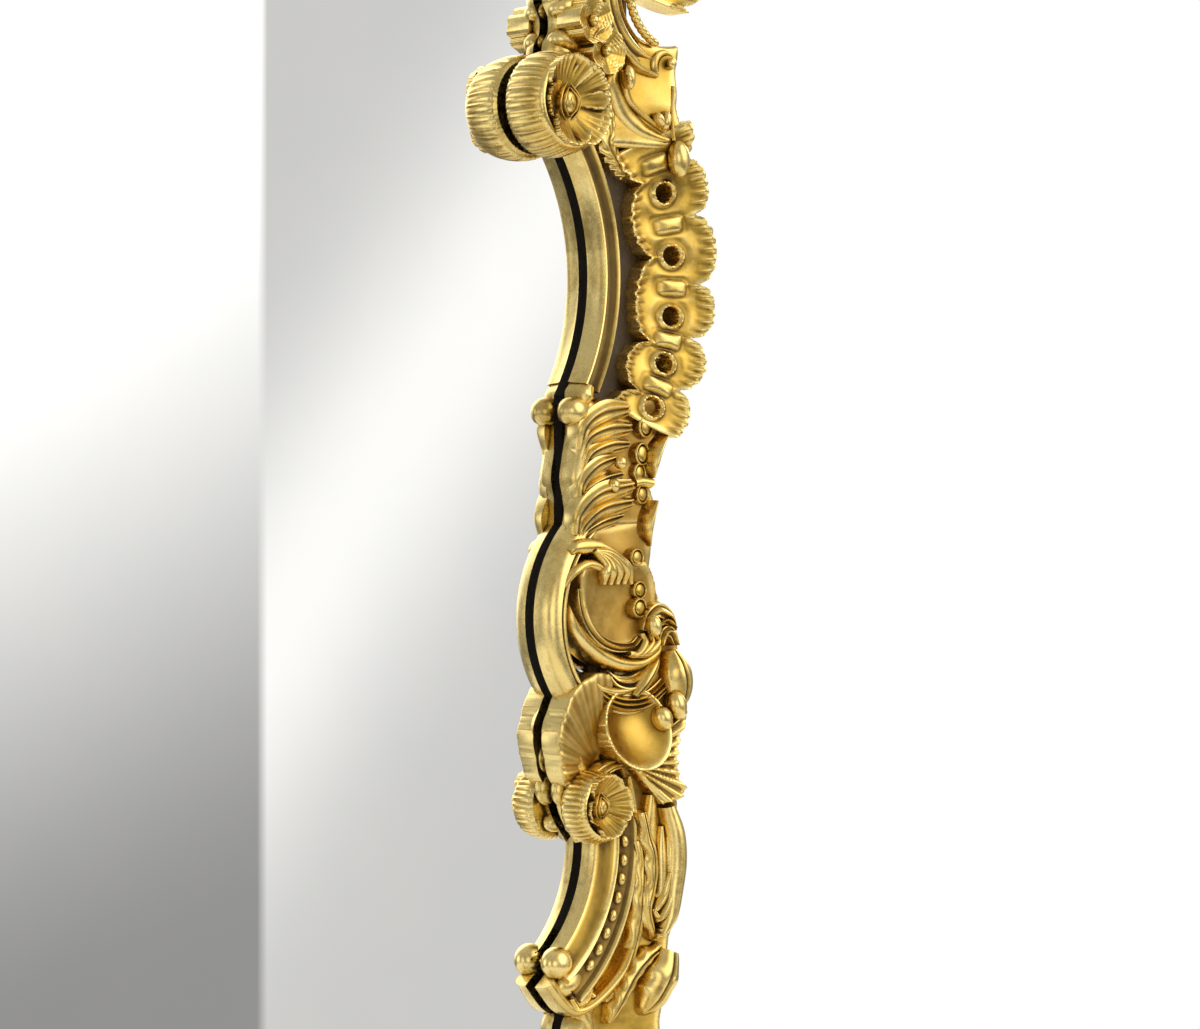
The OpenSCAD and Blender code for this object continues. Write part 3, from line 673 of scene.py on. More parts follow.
GOLD = gilding("gilding", (0.205, 0.122, 0.026), (0.60, 0.375, 0.064), (0.94, 0.73, 0.28), 0.19)
AMBER = gilding("amber_gilding", (0.17, 0.080, 0.012), (0.42, 0.255, 0.055), (0.76, 0.55, 0.19), 0.24)
MATTED = matt("matted_ground", (0.020, 0.012, 0.006), (0.105, 0.065, 0.030), 0.55, 1000)
# Near-black for the liner round the glass: black on the rebate, and painted shade for the unlit gap that the
# glass shows between the frame and its reflection.
BLACK = matt("black_liner_and_shade", (0.004, 0.003, 0.002), (0.012, 0.008, 0.004), 0.75)
BLACK.node_tree.nodes["Principled BSDF"].inputs["Specular IOR Level"].default_value = 0.12
RUBBER = matt("foot_rubber", (0.012, 0.012, 0.012), (0.035, 0.034, 0.033), 0.75)
STEEL = metal("zinc_plate", (0.62, 0.62, 0.60), 0.28)
BRASS = metal("brass", (0.80, 0.56, 0.22), 0.24)
GLASS = silvering()
CORE = timber("core_timber", (0.22, 0.115, 0.045), (0.50, 0.31, 0.145), 0.55, (1, 1, 0.12))
CORE_ACROSS = timber("core_timber_across", (0.22, 0.115, 0.045), (0.50, 0.31, 0.145), 0.55, (0.12, 1, 1))
FILLET = timber("softwood", (0.36, 0.22, 0.10), (0.66, 0.46, 0.25), 0.6, (0.12, 1, 1), 0.387)
OILED = timber("oiled_timber", (0.115, 0.052, 0.020), (0.32, 0.170, 0.072), 0.38, (1, 1, 0.12))
OILED_ACROSS = timber("oiled_timber_across", (0.115, 0.052, 0.020), (0.32, 0.170, 0.072), 0.38,
                      (0.12, 1, 1))
BOARD = fibreboard()
WEBBING = webbing()

CAD_LOOKS = {
    "mirror_plate": GLASS, "sight_liner": BLACK, "backing_board": BOARD, "back_fillets": FILLET,
    "core_left_stile": CORE, "core_right_stile": CORE, "core_top_rail": CORE_ACROSS,
    "core_bottom_rail": CORE_ACROSS, "core_hinge_rail": CORE_ACROSS, "back_hardware": STEEL,
    "front_feet": RUBBER, "strut_feet": RUBBER, "hinge_fixed_leaves": STEEL, "hinge_pins": BRASS,
    "hinge_moving_leaves": STEEL, "strut_left_leg": OILED, "strut_right_leg": OILED,
    "strut_top_rail": OILED_ACROSS, "strut_low_rail": OILED_ACROSS, "strap_frame_anchor": BRASS,
    "strap_strut_anchor": BRASS, "stay_strap": WEBBING,
    "right_ground": MATTED, "left_ground": MATTED, "top_ground": AMBER, "bottom_ground": AMBER,
}
for node_name, node in frame["nodes"].items():
    look = CAD_LOOKS.get(node_name, STEEL if node_name.startswith("turn_button") else GOLD)
    node.data.materials.clear()
    node.data.materials.append(look)


# ---------------------------------------------------------------- the side rails

# The sunk ground that the side carvings stand on.
SIDE_GROUND = cut(
    union(box2(SIGHT - 14, 560, SIGHT + 80, 1405), disc(spot(UPPER, 232, -6), 46),
          disc(spot(UPPER, 232, 14), 46),
          disc((SIGHT + 72, SIDE - 134), 48), disc((SIGHT + 62, SIDE - 290), 50)),
    disc(UPPER, UPPER_R + 9), disc(LOWER, LOWER_R + 9), disc(HIGH, UPPER_R + 9), disc(LOW, UPPER_R + 9),
    cut(box2(0, 520, SIGHT + 29, 1480), disc(SCROLL, SCROLL_R - 9)),
    cut(both(disc(SCROLL, 81), box2(SIGHT, SIDE - 142, SIGHT + 62, SIDE - 30)),
        disc((SIGHT + 92, SIDE - 74), 64)),
    box2(0, 0, 700, 560), box2(0, 1405, 700, 2100))


def side_ground(x, z, depth):
    return GROUND - 0.5 + 0.5 * np.sin(x * 0.31 + z * 0.17) * np.sin(z * 0.23 - x * 0.12)


# The wall, cove and fine ridge that edge the glass beside the shell border.
UPPER_SECTION = [(UPPER_R + a, b) for a, b in [
    (0, BACK), (1.2, 9), (2.2, 16), (2.8, 20.2), (3.8, 22.2), (5.0, 22.5), (6.0, 21.4), (7.4, 18.9),
    (9.4, 17.2), (11.8, 17.2), (14.0, 18.7), (16.0, 21.3), (17.2, 23.3), (17.9, 23.9), (18.5, 23.5),
    (18.9, 21.6), (19.2, 17), (19.4, 12), (9, BACK)]]

# The pierced shell border: lobed along both edges, ribbed there, with bosses between ringed holes.
SHELL_EDGE = 274      # how far the outer lobes reach from the centre
SHELL_MIDDLE = 239    # the circle that the holes and bosses stand on
SHELL_HOLE = 7.2      # the radius of a hole
SHELL_HOLES = [16.6, 4.5, -7.1, -16.4, -25.4]
SHELL_BOSSES = [22.4, 10.4, -1.6, -11.8, -21.0]
SHELL_OUT = [34, 21.8, 11.6, -0.8, -10.6, -20.4, -31]
SHELL_IN = [38, 19.6, 4.4, -13, -23.6, -34]


def polar_about(centre, x, z):
    return np.hypot(x - centre[0], z - centre[1]), np.degrees(np.arctan2(z - centre[1], x - centre[0]))


def scallops(angle, notches, reach, depth):
    """A lobed edge: it stands at reach between the notches and falls by depth in each."""
    notches = np.sort(notches)
    k = np.clip(np.searchsorted(notches, angle) - 1, 0, len(notches) - 2)
    t = 2 * (angle - notches[k]) / (notches[k + 1] - notches[k]) - 1
    return reach + depth * (np.clip(1 - t ** 2, 0, 1) ** 0.55 - 1), t


def wedge(centre, start, end):
    """The outline of all that lies between two angles about a centre."""
    def inside(x, z):
        r, angle = polar_about(centre, x, z)
        return np.minimum(angle - start, end - angle) * math.radians(1) * r
    return inside


def shell_border(centre, out_notches, in_notches, holes, bosses, start, end):
    """A pierced shell border on an arc: a dished sheet with ribbed lobes along both its edges."""
    def edges(angle):
        outer, s = scallops(angle, out_notches, SHELL_EDGE - 0.25 * np.clip(-angle, 0, 40), 16)
        inner, t = scallops(angle, in_notches, 221.5, 17)
        return outer + 0.5 * np.sin(angle * 3.1), 428 - inner + 0.7 * np.sin(angle * 2.3), s, t

    def outline(x, z):
        r, angle = polar_about(centre, x, z)
        outer, inner, _, _ = edges(angle)
        rings = [-disc(spot(centre, SHELL_MIDDLE, a), SHELL_HOLE)(x, z) for a in holes]
        return np.min([outer - r, r - inner, wedge(centre, start, end)(x, z)] + rings, axis=0)

    def top(x, z, inside):
        r, angle = polar_about(centre, x, z)
        outer, inner, s, t = edges(angle)
        rise = 22.5 + 25 * np.clip((r - 203) / 68, 0, 1) ** 1.3
        rise += 0.5 * np.sin(angle * 0.9) * np.sin(r * 0.09)
        ribs = np.abs(np.cos(s * 7.25 * math.pi / 2)) * np.clip((r - outer + 13) / 9, 0, 1)
        ribs = ribs + np.abs(np.cos(t * 8.75 * math.pi / 2)) * np.clip((inner + 10 - r) / 7, 0, 1)
        rise += 1.7 * ribs
        lips = 3.0 * np.clip((r - outer + 12) / 12, 0, 1) ** 2
        lips += 2.4 * np.clip((inner + 9 - r) / 9, 0, 1) ** 2
        rise += lips
        rise -= rounded(inside, 1.6, 1.4)
        for a in holes:
            px, pz = spot(centre, SHELL_MIDDLE, a)
            away = np.hypot(x - px, z - pz)
            rise = rise + 2.6 * np.exp(-((away - 8.8) / 1.5) ** 2)
            rise = rise - 0.6 * np.exp(-((away - 13.0) / 2.6) ** 2)
        for a in bosses:
            cos, sin = math.cos(math.radians(a)), math.sin(math.radians(a))
            px, pz = spot(centre, SHELL_MIDDLE, a)
            outer_way = (x - px) * cos + (z - pz) * sin
            over = -(x - px) * sin + (z - pz) * cos
            away = (np.abs(outer_way / 11.5) ** 4 + np.abs(over / 6.6) ** 4) ** 0.25
            rise = rise + 3.2 * np.clip(1 - away ** 2.4, 0, 1) ** 0.8
            rise = rise - 0.6 * np.exp(-((away - 1.2) / 0.22) ** 2)
        return rise

    return relief(outline, top, (start - 1, 198, end + 1, 275), 1.0, shell_back, centre)


def shell_back(x, z, top):
    return np.maximum(top - 20, GROUND - 3)


def rosette(centre, foot, radius, rise, flutes, petals, spin):
    """An open rose: a fluted cup that carries overlapping ribbed petals round a pointed bud."""
    cup = [(radius * 0.90, foot, 0.3), (radius * 0.985, foot + 4, 0.55),
           (radius * 1.0, foot + (rise - foot) * 0.35, 0.55),
           (radius * 0.95, foot + (rise - foot) * 0.66, 0.5), (radius * 0.86, rise - 6, 0.3),
           (radius * 0.76, rise - 5.5, 0.0), (radius * 0.6, rise - 15, 0.0), (radius * 0.2, rise - 19, 0.0)]
    cup = [(max(r, 0.05), w, depth) for r, w, depth in spline(cup, 40)]
    shapes = [turned(centre, cup, 144, flutes, spin)]

    def petal_sizes(angle):
        for k in range(petals):
            turn = (angle - spin - 360 / petals * k + 180) % 360 - 180
            half = 50 + 6 * math.sin(2.1 * k)
            reach = radius * (0.84 + 0.10 * math.sin(1.9 * k + 0.6))
            edge = reach * (1 - 0.26 * np.abs(turn / half) ** 3) + 0.35 * np.sin(turn * 0.32 + k)
            yield k, turn, half, edge

    def outline(x, z):
        r, angle = polar_about(centre, x, z)
        edges = [np.where(np.abs(turn) < half, edge, 0) for k, turn, half, edge in petal_sizes(angle)]
        return np.max(edges, axis=0) - r

    def top(x, z, inside):
        r, angle = polar_about(centre, x, z)
        high = np.full(r.shape, rise - 19.0)
        for k, turn, half, edge in petal_sizes(angle):
            share = np.clip(r / np.maximum(edge, 1), 0, 1)
            lift = rise - 17 + 17 * share ** 1.9 + 1.5 * (k % 2) - 1.2 * (turn / half) * share
            lift += 0.40 * np.cos(turn * 0.22 * math.pi) * np.clip((share - 0.45) / 0.3, 0, 1)
            lift -= rounded(np.clip(edge - r, 0, 9), 1.6, 1.6)
            lift -= 2.0 * np.clip((np.abs(turn) - half + 4) / 4, 0, 1)
            high = np.where((np.abs(turn) < half) & (r < edge), np.maximum(high, lift), high)
        return high

    def back(x, z, high):
        return np.maximum(high - 6, foot + 6)

    span = (centre[0] - radius, centre[1] - radius, centre[0] + radius, centre[1] + radius)
    shapes.append(relief(outline, top, span, radius / 52, back))
    inner = radius * 0.30
    for k in range(2):
        for side in (-1, 1):
            size = inner * (1 - 0.3 * k)
            spine = [(centre[0] + side * size * x, rise - 12 + 1.5 * k + lift, centre[1] + size * z * 1.25)
                     for x, z, lift in ((0.12, -1.0, 0), (0.72, -0.45, 2), (0.80, 0.25, 3), (0.10, 1.05, 0))]
            shapes.append(band(spine, [2, 3.6, 3.6, 2], 5, rise - 20, count=44))
    shapes.append(blob((centre[0], rise - 13, centre[1]), (inner * 0.55, 6, inner * 0.75), 0.0, 20))
    shapes.append(leaf([(centre[0], rise - 8.0, centre[1] - inner * 0.6), (centre[0], rise - 6, centre[1]),
                        (centre[0], rise - 8, centre[1] + inner * 0.6)], inner * 0.6, 3, vein=0,
                       foot=rise - 14, count=36))
    return shapes


def flower(centre, foot, radius, rise, spin):
    """A small five-petalled flower with thin standing rims."""
    shapes = []
    for k in range(5):
        angle = spin + 72 * k
        spine = [on(centre, radius * part, angle, rise + lift)
                 for part, lift in ((0.05, -5), (0.5, -3), (0.98, 0.5))]
        shapes.append(leaf(spine, radius * 1.05, 1.5, 7, 0.06, 0.6, 3.2, foot, 46, 0.3, root=0.5))
    shapes.append(blob((centre[0], rise - 3, centre[1]), (radius * 0.2, 4.5, radius * 0.24), 0.0, 14))
    return shapes


def beads(centre, radius, start, end):
    """A row of beads just outside a moulding that ends at the radius."""
    angles = np.arange(start, end, 2.9)
    return [blob(on(centre, radius + 32, a, 19), (4.2, 5, 4.2), 0, 10) for a in angles]


def egg(place, size, tall=1.0, turn=0.0):
    """A low oval boss in a ring that follows its shape."""
    cos, sin = math.cos(turn), math.sin(turn)
    ring_knots = []
    for a in np.linspace(0, TAU, 19):
        x, z = size * math.cos(a), size * 1.25 * tall * math.sin(a)
        ring_knots.append((place[0] + x * cos - z * sin, place[1] + 0.8, place[2] + x * sin + z * cos))
    return [band(ring_knots, 2.4, 3, GROUND, 0, count=60),
            blob((place[0], place[1] - 0.6, place[2]), (size * 0.74, size * 0.30, size * 0.95 * tall), turn,
                 20)]


def rail(left):
    """All the carvings of one side rail."""
    tag = "left_" if left else "right_"

    def carve(name, shapes, *nodes, material=GOLD, slot="gilt_carving"):
        piece(tag + name, shapes, material, [tag + node for node in nodes], left)

    ground = relief(SIDE_GROUND, side_ground, (SIGHT - 20, 555, SIGHT + 175, 1410), 3.0)
    border = shell_border(UPPER, SHELL_OUT, SHELL_IN, SHELL_HOLES, SHELL_BOSSES, -29, 27.5)
    carve("matted_ground", [ground], "ground", material=MATTED, slot="gilt_ground")
    carve("sight_moulding", [moulding(UPPER, -29, 38, UPPER_SECTION, 150)], "upper_moulding")
    carve("shell_border", [border], "upper_border")
    carve("knob", [turned_knob((SIGHT + 21, 15, 1076), 12)])
    carve("shoulder_band", shoulder_shapes(), "shoulder_scroll")
    carve("smooth_field", side_field_shapes(), material=AMBER)
    carve("acanthus_sprays", acanthus_shapes(), "acanthus")
    carve("pierced_scroll", scroll_shapes(), "c_scroll")
    carve("inner_scroll", inner_scroll_shapes(), "swirl_leaves")
    carve("ruffled_wall", hollow_shapes())
    carve("fan", fan_shapes(), material=AMBER)
    carve("shell_cup", cup_shapes(), "shell_cluster")
    carve("lower_scroll", lower_scroll_shapes(), "lower_moulding")
    carve("lower_strap", lower_strap_shapes(), "lower_border")


def turned_knob(place, radius):
    """A ball lying on its side at the glass, which runs out to a blunt cone away from it."""
    x, w, z = place
    rings = []
    for along, r in [(-1.0, 0.02), (-0.92, 0.38), (-0.6, 0.8), (-0.1, 1.0), (0.35, 0.96), (0.7, 0.86),
                     (0.85, 0.84), (1.0, 0.9), (1.2, 0.93), (1.5, 0.84), (2.1, 0.5), (2.7, 0.05)]:
        angle = np.linspace(0, TAU, 36, endpoint=False)
        rings.append(np.stack([np.full(36, x + along * radius), w + r * radius * np.cos(angle),
                               z + r * radius * np.sin(angle)], 1))
    return loft(rings)


# The outer edge of the carved field down the rail, as (up, out, rise).
FIELD_EDGE = np.array([
    (560, 104, 34), (597, 105, 34), (620, 110, 34), (644, 113, 34), (660, 116, 34), (676, 122, 34),
    (754, 124, 34), (770, 120, 36), (786, 112, 38), (802, 109, 38), (817, 112, 38), (833, 115, 38),
    (857, 124, 38), (880, 124, 38), (896, 119, 37), (912, 111, 35), (928, 102, 33), (943, 96, 32),
    (967, 94, 32), (991, 97, 32), (1006, 99, 32), (1022, 95, 32), (1038, 100, 32), (1069, 106, 33),
    (1085, 112, 36), (1120, 114, 44), (1290, 122, 46), (1321, 112, 44), (1353, 114, 43),
    (1405, 112, 44)], float).T


def field_outline(x, z):
    return SIGHT + np.interp(z, FIELD_EDGE[0], FIELD_EDGE[1]) + 0.8 * np.sin(z * 0.19) - x


def field_top(x, z, inside):
    """The ground swell of the carved field, low at the glass and high at the outer edge."""
    out, high = np.interp(z, FIELD_EDGE[0], FIELD_EDGE[1]), np.interp(z, FIELD_EDGE[0], FIELD_EDGE[2])
    low = np.interp(z, [1100, 1285], [15.5, 21.5])
    share = np.clip((x - SIGHT - 28) / (out - 28), 0, 1)
    top = low + (high - low) * share ** np.interp(z, [1100, 1285], [2.2, 1.35])
    top += 0.8 * np.sin(z * 0.11 + x * 0.05) * np.sin(x * 0.09 + 1)
    return top - rounded(inside, 5, 5)


def field_back(x, z, top):
    return np.maximum(top - 22, GROUND - 2)


def field(low, high, start, *openings, cell=1.7):
    """The part of the field between two heights, from start outward."""
    def slope(x, z):
        return high + 0.16 * (x - SIGHT - 60) * (high < 1200) - z

    outline = cut(both(field_outline, slope, box2(SIGHT + start, low, SIGHT + 200, 2000)), *openings)
    return relief(outline, field_top, (SIGHT + start - 3, low - 3, SIGHT + 130, high + 14), cell,
                  field_back)


def side_field_shapes():
    """The smooth field down to the cup, and the hollow panel inside the second C-scroll."""
    def panel_top(x, z, inside):
        rise = 26 + 0.0030 * ((x - SIGHT - 46) ** 2 + (z - 932) ** 2)
        rise += 0.12 * np.sin(x * 0.3) * np.sin(z * 0.24)
        return rise - rounded(inside, 3, 3)

    outline = both(field_outline, disc((SIGHT + 56, 930), 42), box2(SIGHT + 18, 880, SIGHT + 104, 958))
    panel = relief(outline, panel_top, (SIGHT + 12, 878, SIGHT + 104, 962), 1.6)
    return [field(984, 1084, 30), field(924, 988, 40, disc((SIGHT + 60, 905), 38)), panel,
            field(744, 924, 66, disc((SIGHT + 56, 930), 40), disc(LOWER, LOWER_R + 38))]


def shoulder_shapes():
    """The shoulder: a smooth hollow with a bright twisted band round it."""
    scroll = (SIGHT + 103, 1410)
    shapes = [field(1285, 1402, 46, disc(scroll, 42))]
    lobe = [(0, BACK), (0.6, 8), (2, 14), (6, 19), (14, 22), (24, 22), (34, 19), (44, 15), (44, 11),
            (20, BACK)]
    shapes.append(sweep([(20, 1440), (6, 1426), (0, 1408), (-2, 1396), (4, 1384), (4, 1372), (-2, 1362),
                         (-1, 1350), (8, 1340)], [lobe], 120))
    shapes += [blob((SIGHT + 17, 13, 1391), (17, 13, 10.5), 0.1, 24),
               blob((SIGHT + 16, 13, 1365), (17, 13, 11), -0.1, 24)]
    shapes += flower((SIGHT + 22, 1380), GROUND + 2, 19, 41, 100)
    shapes += flower((SIGHT + 37, 1358), GROUND + 2, 19, 40, 60)
    # The ruffled left edge.
    shapes += along(leaf,
        (((47, 30, 1344), (43, 29, 1331), (50, 28, 1317), (54, 27, 1299), (53, 26, 1285), (75, 24, 1264)),
         20, 6, 12, 0.32, 1.0, 2.0, GROUND, 120, 0.2, 0.9))
    # The bright band that sweeps down and out, with its hollow and the lip round it.
    shapes += along(band,
        (((51, 36, 1346), (50, 35, 1336), (57, 34, 1324), (67, 34, 1311), (81, 36, 1301), (96, 39, 1295),
          (103, 42, 1293)), [10, 15, 16, 17, 16, 12, 6], 8, GROUND, 0, 90),
        (((56, 40, 1345), (59, 39, 1335), (66, 37, 1322), (80, 37, 1312), (92, 40, 1305), (100, 42, 1300)),
         [6, 7, 6, 5, 5, 4], 6, GROUND, 0, 90))
    shapes += blobs(((59, 39, 1339), (5, 7, 10), 0.15, 18),
                    ((55, 43, 1336), (2, 4, 4), 0.15, 14))
    # The bud in the corner and the thin outer lip.
    shapes += blobs(((92, 41, 1308), (3.5, 6, 7), 0.6, 16),
                    ((98, 42, 1308), (4, 6, 8), -0.1, 16))
    shapes += along(band,
        (((108, 44, 1336), (106, 44, 1320), (106, 44, 1306), (108, 44, 1293)), 5, 9, GROUND + 8))
    # The big egg at the top of the shell border.
    shapes += blobs(((111, 45, 1278), (9, 9, 15), 0.1, 24))
    # The corner scroll with its beaded rim and rolled end.
    shapes.append(band(arc(scroll, 67, 184, 262, 14, 40), [7, 8, 8, 7, 5], 8, GROUND, 0, count=90))
    shapes.append(band(arc(scroll, 54, 184, 258, 14, 36), [20, 20, 20, 14], 7, GROUND, 1, depth=0.5,
                       count=90))
    shapes += [blob(on(scroll, 43.5, a, 40), (3.2, 4.2, 4.6), math.radians(a), 12)
               for a in range(186, 256, 7)]
    shapes += curl((SIGHT + 104, 1354), 12, 0.9, 215, 10, 38, 7, -1, 0)
    return shapes


SIDE_WALL = [(0, BACK), (1.0, 10), (1.6, 16), (3.2, 20.6), (6.5, 23.2), (10, 22.8), (14, 20), (17, 16),
             (17, 12), (8, BACK)]


def acanthus_shapes():
    """The wall below the knob, with leaves that roll outward and a row of eggs."""
    shapes = [sweep([(22, 1070), (23, 1060), (20, 1042), (17, 1024), (20, 1009), (21.5, 996),
                     (18, 980)], [SIDE_WALL], 90)]
    # A collar above the knob.
    collar = [(a * 1.4 - 1, b + 1.5 * (b > 8)) for a, b in SIDE_WALL]
    shapes.append(sweep([(29, 1100), (24, 1092), (21.5, 1084)], [SIDE_WALL, collar, SIDE_WALL], 24))
    # Broad fluted leaves that rise from the wall and roll to the right.
    for knots, widths in (
            (((25, 23, 1046), (27, 28, 1063), (43, 31, 1074), (71, 31, 1079)), [9, 19, 23, 13]),
            (((26, 23, 1038), (31, 27, 1054), (50, 31, 1062), (73, 31, 1064)), [8, 16, 20, 12]),
            (((27, 23, 1026), (34, 26, 1041), (52, 30, 1049), (72, 30, 1051)), [5, 15, 17, 9]),
            (((24, 23, 1006), (26, 26, 1020), (37, 30, 1032), (58, 31, 1040)), [5, 14, 16, 7]),
            (((26, 23, 1004), (29, 25, 1013), (46, 29, 1022), (66, 29, 1027)), [5, 13, 14, 7]),
            (((21, 23, 979), (22, 27, 995), (38, 32, 1010), (73, 34, 1018)), [9, 16, 21, 12]),
            (((23, 23, 977), (28, 27, 988), (44, 31, 999), (74, 32, 1005)), [8, 15, 19, 11]),
            (((24, 23, 975), (28, 25, 980), (43, 29, 988), (66, 29, 994)), [5, 12, 13, 7])):
        shapes.append(band(at(*knots), widths, 8, 13, 2, depth=0.3, count=110))
    # The row of eggs.
    for place, size in (((88, 31, 1065), 7), ((85, 30, 1043), 7), ((83, 29, 1028), 6), ((86, 29, 1011), 6)):
        shapes += egg(at(place)[0], size, 0.95)
    for place in ((58, 32, 1036), (52, 30, 1018)):
        shapes.append(blob(at(place)[0], (5, 5.5, 5.5), 0.0, 16))
    # Leaf curls seen edge-on along the outside.
    for knots in (((104, 43, 1060), (96, 43, 1048), (92, 41, 1034), (93, 36, 1024)),
                  ((92, 41, 1006), (88, 41, 993), (87, 39, 981), (91, 34, 970))):
        shapes.append(band(at(*knots), [4, 8, 8, 3], 14, GROUND, 0, fullness=0.7, count=60))
    shapes += along(band,
        (((78, 31, 1020), (85, 34, 1021), (92, 37, 1020)), 9, 7, GROUND))
    return shapes


def scroll_shapes():
    """The pierced C-scroll at the glass, which starts in a grooved curl."""
    section = [(0, BACK), (0.8, 10), (2.2, 16), (5, 21.5), (9, 25.2), (13, 27), (16.5, 27.6), (18.5, 26.6),
               (19.6, 28.6), (21.2, 29.3), (22.6, 28.2), (23.2, 24), (22.5, 16), (21, BACK)]
    section = [(SCROLL_R - a * 0.74, BACK + (b - BACK) * 0.83) for a, b in section]
    shapes = [moulding(SCROLL, 119, 243, section, 130)]
    # The curl: rounded lobes that roll over to the right and down.
    shapes += along(band,
        (((12, 25, 965), (18, 28, 969), (29, 30, 970), (43, 32, 969), (58, 34, 961), (69, 34, 952),
          (73, 31, 940)), [8, 14, 13, 10, 9, 9, 5], 8, GROUND, 0, 110))
    lobe = np.array(at((32, 32, 967), (48, 35, 964), (64, 36, 952), (65, 31, 940)))
    for k in range(4):
        inward = np.array([(0, 0, 0), (-1.6, 0, -2.6), (-7.5, 0, -1.0), (-7.5, 0, 0)]) * k
        shapes.append(band(lobe + inward, [5, 7.5, 8.5, 5], 6, GROUND, 0, count=60))
    shapes += along(band,
        (((5, 24, 938), (14, 29, 950), (29, 31, 956), (45, 32, 950), (52, 29, 940)), [6, 8, 9, 8, 5], 7,
         GROUND, 0, 70))
    for place in ((78, 31, 961), (80, 32, 935)):
        shapes += egg(at(place)[0], 6.5, 0.8)
    return shapes


def inner_scroll_shapes():
    """The second C-scroll and the leaves that sweep under it."""
    shapes = along(band,
        (((18, 31, 937), (18, 34, 923), (24, 35, 909), (36, 36, 897), (52, 37, 891), (68, 38, 891),
          (76, 38, 897)), [6, 8, 9, 9, 9, 8, 5], 7, GROUND, 1, 110, 0.55),
        (((18, 20, 934), (19, 24, 914), (28, 27, 898), (45, 29, 885), (63, 31, 878), (84, 33, 877),
          (99, 35, 885), (101, 35, 894)), [8, 15, 17, 16, 14, 14, 11, 6], 10, LINER + 1, 0, 110))
    # The three-lobed end of the scroll.
    lobe = np.array(at((65, 37, 885), (73, 40, 885), (80, 41, 893), (79, 38, 901)))
    for k in range(3):
        shift = np.array([(0, 0, 0.7), (4.5, 0, 0), (7.2, 0, 0), (7.2, 0, 0)]) * k
        shapes.append(band(lobe + shift, [4, 7, 8, 5], 6, GROUND, 0, count=60))
    shapes += egg(at((76, 36, 921))[0], 7, 0.8, 0.5)
    # Sweeping grooved bands below.
    shapes += along(band,
        (((52, 26, 870), (60, 30, 862), (74, 32, 860), (85, 34, 866), (94, 36, 875)), [6, 14, 16, 13, 6], 8,
         GROUND, 2, 100, 0.5),
        (((37, 25, 862), (47, 30, 851), (65, 33, 845), (86, 35, 846), (102, 37, 855), (113, 38, 867),
          (118, 38, 882)), [6, 15, 17, 16, 14, 12, 6], 9, GROUND, 3, 130, 0.45))
    shapes += along(leaf,
        (((75, 36, 851), (84, 38, 861), (93, 39, 873), (100, 38, 883)), 12, 6, 0))
    shapes += along(band,
        (((34, 26, 865), (43, 29, 858), (59, 30, 855), (78, 31, 857)), [3, 8, 8, 4], 7, GROUND))
    # The hooked leaves on the outside.
    for knots, width in (
            (((81, 40, 903), (84, 44, 914), (93, 46, 919), (105, 46, 913), (110, 44, 903)), 13),
            (((87, 41, 901), (94, 44, 909), (101, 46, 911), (109, 46, 905)), 9),
            (((96, 43, 891), (99, 46, 901), (106, 47, 901), (111, 46, 891)), 10)):
        shapes.append(band(at(*knots), [4, width * 0.8, width, width * 0.8, 3], 8, GROUND, 1, depth=0.5,
                           count=70))
    shapes += blobs(((83, 44, 907), (6, 7, 9), 0.2, 18))
    shapes.append(leaf(at((111, 45, 887), (115, 49, 873), (118, 49, 857), (115, 46, 837)), 26, 9, 0,
                       tip=0.6))
    return shapes


def hollow_shapes():
    """The ruffled wall at the glass, with the swellings that lie over it."""
    ruffle = [(0, BACK), (1.5, 10), (3.5, 15), (8, 19.5), (14, 22.5), (20, 23), (25, 20), (26, 12),
              (12, BACK)]
    shapes = [sweep([(11, 858), (8, 849), (-1, 832), (-2, 820), (3, 801), (10, 786), (13, 770), (20, 754),
                     (34, 736)], [ruffle], 110)]
    return shapes + blobs(((28, 10, 841), (16, 9, 8), 0.4, 24), ((17, 11, 823), (13, 9, 9), 0.3, 24),
                          ((15, 9, 804), (13, 8, 15), -0.2, 24), ((32, 10, 828), (15, 8, 7), 0.5, 24),
                          ((19, 9, 780), (13, 8, 15), -0.3, 24), ((31, 12, 753), (14, 8, 9), 0.2, 24))


def fan_shapes():
    """A thin fan of ribs that runs from its apex, with a lobed, raised edge."""
    apex = np.array(at((45, 24, 798))[0])

    def fan_reach(angle):
        reach = np.interp(angle, [80, 96, 112, 128, 146, 164, 184, 205, 226],
                          [70, 73, 69, 62, 55, 48, 42, 38, 36])
        return reach + 1.8 * np.abs(np.sin(np.radians(angle * 5.1 + 20))) - 1

    def fan_outline(x, z):
        r, angle = polar_about(apex[::2], x, z)
        angle = angle % 360
        sides = [(angle - 80) * DEGREE * r, (226 - angle) * DEGREE * r]
        return np.min([fan_reach(angle) - r, r - 3, *sides], axis=0)

    def fan_top(x, z, inside):
        r, angle = polar_about(apex[::2], x, z)
        angle = angle % 360
        share = np.clip(r / fan_reach(angle), 0, 1)
        lift = 21 + 6 * np.sin(share * math.pi * 0.62) - 0.045 * np.clip(angle - 100, 0, 200)
        ribs = 0.5 * np.cos(np.radians(angle) * 19) + 0.25 * np.cos(np.radians(angle) * 53 + r * 0.05)
        lift += ribs * share
        return lift - rounded(inside, 2, 2)

    return [relief(fan_outline, fan_top, (apex[0] - 60, apex[2] - 50, apex[0] + 24, apex[2] + 82), 1.1)]


